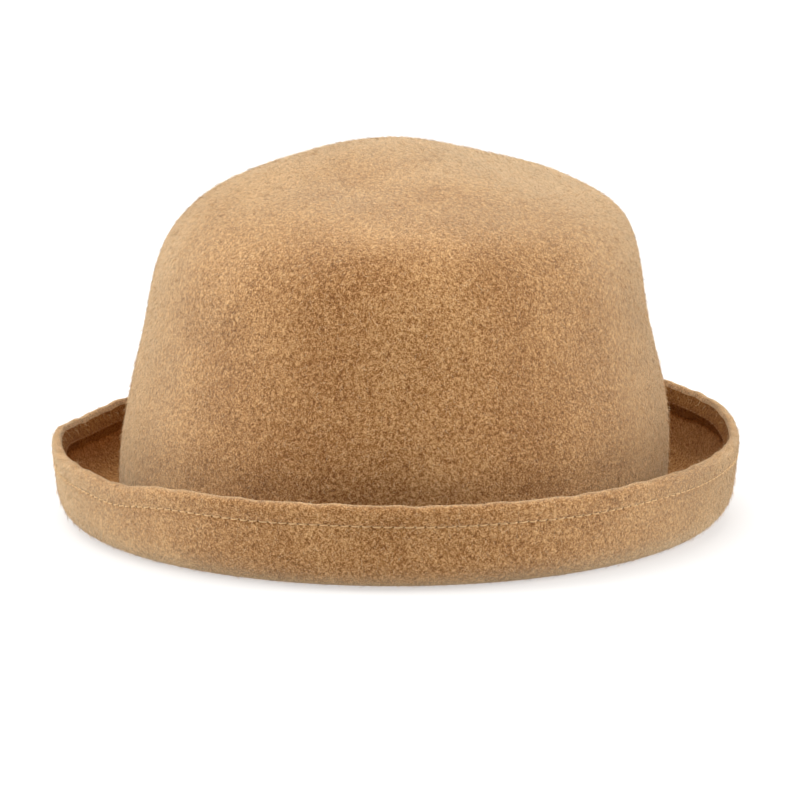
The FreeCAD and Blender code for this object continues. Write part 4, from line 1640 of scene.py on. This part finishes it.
@dataclass
class Bow:
    """Small flat bow of narrow ribbon over the sweatband's lap."""

    block: HatBlock
    ribbon: float = 10.0
    thick: float = 0.35
    middle_z: float = 20.0
    reach: float = 14.0
    loop_r: float = 2.3
    neck_r: float = 0.7
    neck: float = 5.0
    tail: float = 14.0
    tail_turn: float = math.radians(26)
    tail_width: float = 8.0
    knot: float = 5.0
    knot_thick: float = 0.45
    standoff: float = 1.0
    rib: float = 0.7

    @property
    def back_y(self) -> float:
        """Find where the bow's back is.

        Returns:
            Its Y.
        """
        block = self.block
        _, a = block.band_point(self.middle_z + self.ribbon / 2, block.band_t + block.lap_step)
        return float(block.band_length(a)) - self.standoff

    def loop_line(self, side: int, count: int) -> Array:
        """Middle line of one loop seen from above, from the knot out and back.

        Args:
            side: -1 or 1 for the loop towards -X or +X.
            count: number of places.

        Returns:
            X and Y, one row each.
        """
        block = self.block
        bend = self.reach ** 2 * block.band_length(block.inner_a) / (2 * block.inner_a ** 2)
        back = self.back_y - self.thick
        near = np.array((self.knot / 2 - 1.8, back - self.neck_r))
        far = np.array((self.reach, back - self.loop_r - bend - self.standoff))
        way = math.atan2(*(far - near)[::-1])
        near_r, far_r = self.neck_r - self.thick / 2, self.loop_r - self.thick / 2
        aside = np.array((-math.sin(way), math.cos(way)))
        tip = np.linspace(way + QUARTER, way - QUARTER, 9)[:, None]
        line = [near + aside * near_r, (near + far) / 2 + aside * (near_r + far_r) * 0.62]
        line += list(far + far_r * np.hstack((np.cos(tip), np.sin(tip))))
        line += [(near + far) / 2 - aside * (near_r + far_r) * 0.62, near - aside * near_r]
        head = (line[1] - line[0]) / np.linalg.norm(line[1] - line[0])
        foot = (line[-1] - line[-2]) / np.linalg.norm(line[-1] - line[-2])
        smooth = spline_through(line, head, foot, count)
        return smooth * (side, 1)

    def loops(self) -> bpy.types.Object:
        """Fold two loops and two tails, gathered at the middle.

        Returns:
            The ribbon, in one piece.
        """
        pieces = []
        for side in (-1, 1):
            steps = 2 * round(34 / self.rib)
            line = self.loop_line(side, steps + 1)

            def place(along: Array, across: Array, line: Array = line) -> Array:
                """Lay the ribbon along a loop, narrow and creased at the knot.

                Args:
                    along: share of the loop's length.
                    across: share of the ribbon's width.
                    line: the loop's middle line.

                Returns:
                    The places.
                """
                i = np.round(along * (len(line) - 1)).astype(int)
                x, y = line[i].T
                out = smoothstep(1.6, 8.0, np.abs(x))
                half = self.neck / 2 * 0.9 + (self.ribbon - self.neck * 0.9) / 2 * out
                v = 2 * across - 1
                gather = 0.22 * np.cos(3 * math.pi * v + 0.8) * (1 - out) * smoothstep(0, 1.2, np.abs(x))
                puff = 0.5 * (1 - v * v) * np.sin(math.pi * along) ** 2 * (0.5 - i / (len(line) - 1))
                rib = 0.035 * (i % 2)
                return np.c_[x, y + gather * 0.5 + rib + puff * 0.3, self.middle_z + half * v]

            pieces.append(shaped_grid(f"bow_loop_{side}", steps, 10, place))

            def hang(along: Array, across: Array, side: int = side) -> Array:
                """Hang a tail, cut on the slant, its end curled off the sweatband.

                Args:
                    along: share of the tail's length.
                    across: share of the ribbon's width.
                    side: -1 or 1 for the tail towards -X or +X.

                Returns:
                    The places.
                """
                down = self.tail * along + (0.9 * (across - 0.5) * self.tail_width * side
                                            * smoothstep(0.6, 1.0, along)) * 0.55
                half = (1.6 + (self.tail_width / 2 - 1.6) * smoothstep(0.0, 0.55, along))
                v = (2 * across - 1) * half
                x = side * (down * math.sin(self.tail_turn)) + v * math.cos(self.tail_turn)
                z = self.middle_z - down * math.cos(self.tail_turn) + side * v * math.sin(self.tail_turn)
                rib = 0.03 * (np.round(along * 2 * self.tail / self.rib).astype(int) % 2)
                layer = self.thick * (0.5 if side > 0 else 1.5)
                curl = 0.9 * smoothstep(0.5, 1.0, along) ** 2
                z = np.maximum(z, 6.0)
                return np.c_[x, self.back_y - layer - curl - rib - 0.25 * (1 - (2 * across - 1) ** 2), z]

            pieces.append(shaped_grid(f"bow_tail_{side}", 2 * round(self.tail / self.rib), 8, hang))
        clear_selection()
        for piece in pieces:
            piece.select_set(True)
        bpy.context.view_layer.objects.active = pieces[0]
        bpy.ops.object.join()
        bow = adopt("bow_ribbon")
        apply_modifier(bow, "SOLIDIFY", thickness=0.28 * MM, offset=0.0)
        smooth_faces(bow)
        return bow

    def wrap(self) -> bpy.types.Object:
        """Wrap a short ribbon round the gathered middle.

        Returns:
            The wrap.
        """
        deep = (self.thick + 2 * self.neck_r) / 2 + 0.1 + self.knot_thick / 2
        high = self.neck / 2 + 0.1 + self.knot_thick / 2
        middle_y = self.back_y - (self.thick + 2 * self.neck_r) / 2

        def place(along: Array, across: Array) -> Array:
            """Lay the ribbon round a soft-cornered rectangle, with folds across it.

            Args:
                along: share of the way round.
                across: share of its width.

            Returns:
                The places.
            """
            angle = TURN * along + QUARTER
            v = 2 * across - 1
            c, s = np.cos(angle), np.sin(angle)
            y = deep * np.sign(s) * np.abs(s) ** 0.55
            z = high * np.sign(c) * np.abs(c) ** 0.55
            pinch = 1 - 0.06 * (1 - v * v)
            fold = 0.08 * np.cos(2.5 * math.pi * v) * (s < 0)
            return np.c_[self.knot / 2 * v * (0.92 + 0.08 * np.abs(c)), middle_y + y * pinch + fold,
                         self.middle_z + z * pinch]

        knot = shaped_grid("bow_wrap", 64, 12, place)
        close_skin(knot)
        apply_modifier(knot, "SOLIDIFY", thickness=0.34 * MM, offset=0.0)
        smooth_faces(knot)
        return knot

    def build(self) -> None:
        """Tie the bow and dress it."""
        bow = self.loops()
        dress = RibbedRibbon(name="Narrow ribbed ribbon", ribbon_length=34.0, ribbon_width=self.ribbon,
                             rib=self.rib)
        finish_piece(bow, [dress.material()], ["bow_loops"])
        knot = self.wrap()
        wrap = RibbedRibbon(name="Narrow ribbed ribbon, knot", ribbon_length=18.0, ribbon_width=self.knot,
                            rib=self.rib)
        finish_piece(knot, [wrap.material()], ["bow_knot"])


@dataclass
class Labels:
    """Blank woven size label on the ribbon and blank satin care label behind it."""

    block: HatBlock
    size_width: float = 14.0
    size_height: float = 12.0
    size_at: float = math.radians(128)
    care_width: float = 22.0
    care_foot: float = 8.0
    care_top: float = 50.0
    care_top_in: float = 2.7
    care_at: float = math.radians(58)

    def laid(self, width: float, at: float, z: Array, along: Array, inset: Array) -> Array:
        """Places on the inside oval.

        Args:
            width: the label's width.
            at: oval angle of its middle.
            z: height of each place.
            along: share of the width.
            inset: distance in from the ribbon's face on the felt.

        Returns:
            The places.
        """
        block = self.block
        angle = at + (along - 0.5) * width / block.inner_a
        shift, a = block.band_point(z, inset)
        return np.c_[shift + a * np.cos(angle), block.band_length(a) * np.sin(angle), z]

    def build(self) -> None:
        """Make and dress both labels."""
        block = self.block

        def size_place(along: Array, across: Array) -> Array:
            """Lay the size label on the ribbon, its sides folded under.

            Args:
                along: share of its width.
                across: share of its height.

            Returns:
                The places.
            """
            z = block.band_seam_z + 1.5 + self.size_height * across
            fold = smoothstep(0.86, 1.0, np.abs(2 * along - 1))
            free = smoothstep(0.3, 1.0, across) * np.cos(math.pi * (along - 0.5)) ** 2
            return self.laid(self.size_width, self.size_at, z, along, 0.95 + 0.05 * fold + 0.05 * free)

        label = shaped_grid("woven_size_label", 40, 32, size_place)
        apply_modifier(label, "SOLIDIFY", thickness=0.24 * MM, offset=0.0)
        smooth_faces(label)
        damask = LabelCloth(name="Woven damask label", width=self.size_width, height=self.size_height)
        finish_piece(label, [damask.material()], ["size_label"])

        def care_place(along: Array, across: Array) -> Array:
            """Lay the care label behind the ribbon; above the ribbon it leans in and curls.

            Args:
                along: share of its width.
                across: share of its height.

            Returns:
                The places.
            """
            z = self.care_foot + (self.care_top - self.care_foot) * across
            free = np.clip((z - block.band_foot_z - block.band_height)
                           / (self.care_top - block.band_foot_z - block.band_height), 0, 1)
            curl = 1.3 * free ** 2 * (0.5 + 0.5 * np.cos(TURN * (along - 0.35)))
            inset = -0.14 + (self.care_top_in + 0.14 - 0.12) * free ** 1.2 + curl
            return self.laid(self.care_width, self.care_at, z, along, inset)

        label = shaped_grid("satin_care_label", 44, 84, care_place)
        apply_modifier(label, "SOLIDIFY", thickness=0.1 * MM, offset=0.0)
        smooth_faces(label)
        satin = LabelCloth(name="Satin label", ground="#E4E2DC", floats="#F6F5F1", border="#D8D5CC",
                           roughness=0.32, width=self.care_width, height=self.care_top - self.care_foot,
                           thread=0.25, border_in=0.6, border_width=0.9)
        finish_piece(label, [satin.material()], ["care_label"])


# ---- studio -------------------------------------------------------------------------------------
@dataclass(frozen=True)
class LightTable(Finish):
    """Opal acrylic table lit from below, which keeps a product's shadow faint."""

    name: str = "Opal acrylic light table"
    roughness: float = 0.95
    specular: float = 0.0
    glow: float = 0.54

    def pattern(self, tree: bpy.types.NodeTree) -> dict[str, bpy.types.NodeSocket]:
        """Barely uneven white over the glow of the lamps.

        Args:
            tree: the material's node tree.

        Returns:
            Colour.
        """
        place = add_node(tree, "TexCoord").outputs["Object"]
        tooth = add_node(tree, "TexNoise", {"Scale": 3.0, "Detail": 2.0}, {"Vector": place})
        colour = add_node(tree, "ValToRGB", {"stops": ((0.3, "#A9A8A6"), (0.7, "#ACABA9"))},
                          {"Fac": tooth.outputs["Fac"]})
        return {"Base Color": colour.outputs["Color"]}


@dataclass
class Studio:
    """Pale floor, soft light all round and a long lens a little above the brim."""

    elevation: float = 10.7
    distance: float = 2600.0
    lens: float = 377.0
    aim: tuple[float, float, float] = (2.0, 0.0, 35.2)

    def camera(self) -> None:
        """Place the camera."""
        data = bpy.data.cameras.new("camera")
        data.lens = self.lens
        data.sensor_width = 36.0
        camera = bpy.data.objects.new("camera", data)
        bpy.context.scene.collection.objects.link(camera)
        tilt = math.radians(self.elevation)
        back = Vector((0, -math.cos(tilt), math.sin(tilt)))
        camera.location = (Vector(self.aim) + back * self.distance) * MM
        camera.rotation_euler = (-back).to_track_quat("-Z", "Y").to_euler()
        data.clip_end = 200.0
        bpy.context.scene.camera = camera

    def floor(self) -> None:
        """Lay the light table."""
        clear_selection()
        bpy.ops.mesh.primitive_circle_add(vertices=96, radius=60, fill_type="NGON")
        floor = adopt("studio_floor")
        floor.data.materials.append(LightTable().material())

    def area_light(self, name: str, place: tuple[float, float, float], size: float, power: float,
                   colour: str) -> None:
        """Hang one soft panel that faces the hat.

        Args:
            name: the light's name.
            place: where it hangs, in metres.
            size: side of the panel, in metres.
            power: its power in watts.
            colour: its colour in sRGB.
        """
        data = bpy.data.lights.new(name, "AREA")
        data.shape = "SQUARE"
        data.size = size
        data.energy = power
        data.color = linear(colour)[:3]
        light = bpy.data.objects.new(name, data)
        bpy.context.scene.collection.objects.link(light)
        light.location = place
        towards = Vector((0, 0, 0.05)) - Vector(place)
        light.rotation_euler = towards.to_track_quat("-Z", "Y").to_euler()

    def sky(self, strength: float) -> None:
        """Even white light from all round.

        Args:
            strength: its radiance.
        """
        world = bpy.data.worlds.new("studio")
        world.use_nodes = True
        back = world.node_tree.nodes["Background"]
        back.inputs["Color"].default_value = (1, 1, 1, 1)
        back.inputs["Strength"].default_value = strength
        bpy.context.scene.world = world

    def overhead(self, power: float) -> None:
        """Wide soft light from above, even over the whole floor.

        Args:
            power: its irradiance.
        """
        data = bpy.data.lights.new("overhead", "SUN")
        data.energy = power
        data.angle = math.radians(70)
        light = bpy.data.objects.new("overhead", data)
        bpy.context.scene.collection.objects.link(light)
        light.rotation_euler = (math.radians(-20), math.radians(-14), 0)

    def build(self) -> None:
        """Set up the whole studio."""
        self.camera()
        self.floor()
        self.sky(0.34)
        self.overhead(3.1)
        self.area_light("left_panel", (-1.9, -0.15, 0.9), 1.2, 30, "#FFFFFF")
        self.area_light("right_panel", (1.9, -0.15, 0.9), 1.2, 36, "#FFFFFF")
        self.area_light("front_panel", (0.1, -1.9, 2.0), 1.2, 12, "#FFFFFF")
        bpy.context.scene.view_settings.view_transform = "Standard"


def main() -> None:
    """Build the studio and every piece of the hat."""
    logging.basicConfig(level=logging.INFO, format="%(name)s: %(message)s")
    block = HatBlock()
    Studio().build()
    body = FeltBody(block)
    felt = body.build()
    pale, camel, tobacco, umber = FibreShade
    brushed = [WoolFibre(name=f"Wool fibre, {shade.name.lower()}", colour=shade.value).material()
               for shade in (pale, camel, tobacco)]
    # Fibres inside the brim are darker and duller: painted shade.
    painted_shade_inside = [WoolFibre(name=f"Wool fibre, matted {shade.name.lower()}", colour=shade.value,
                        sheen=0.1).material() for shade in (camel, tobacco, umber)]
    for nap in (Nap("crown_nap_low", ("crown",), 17000, 31), Nap("crown_nap_high", ("crown",), 17000, 32),
                Nap("brim_nap_outside", ("rim", "wall"), 14000, 33)):
        nap.build(felt, body.marks, brushed)
    Nap("brim_nap_inside", ("gutter", "hem"), 9000, 34).build(felt, body.marks, painted_shade_inside)
    Seams(block, body.stitches).build()
    BrimWire(block).build()
    Sweatband(block).build()
    Bow(block).build()
    Labels(block).build()


if __name__ == "__main__":
    main()
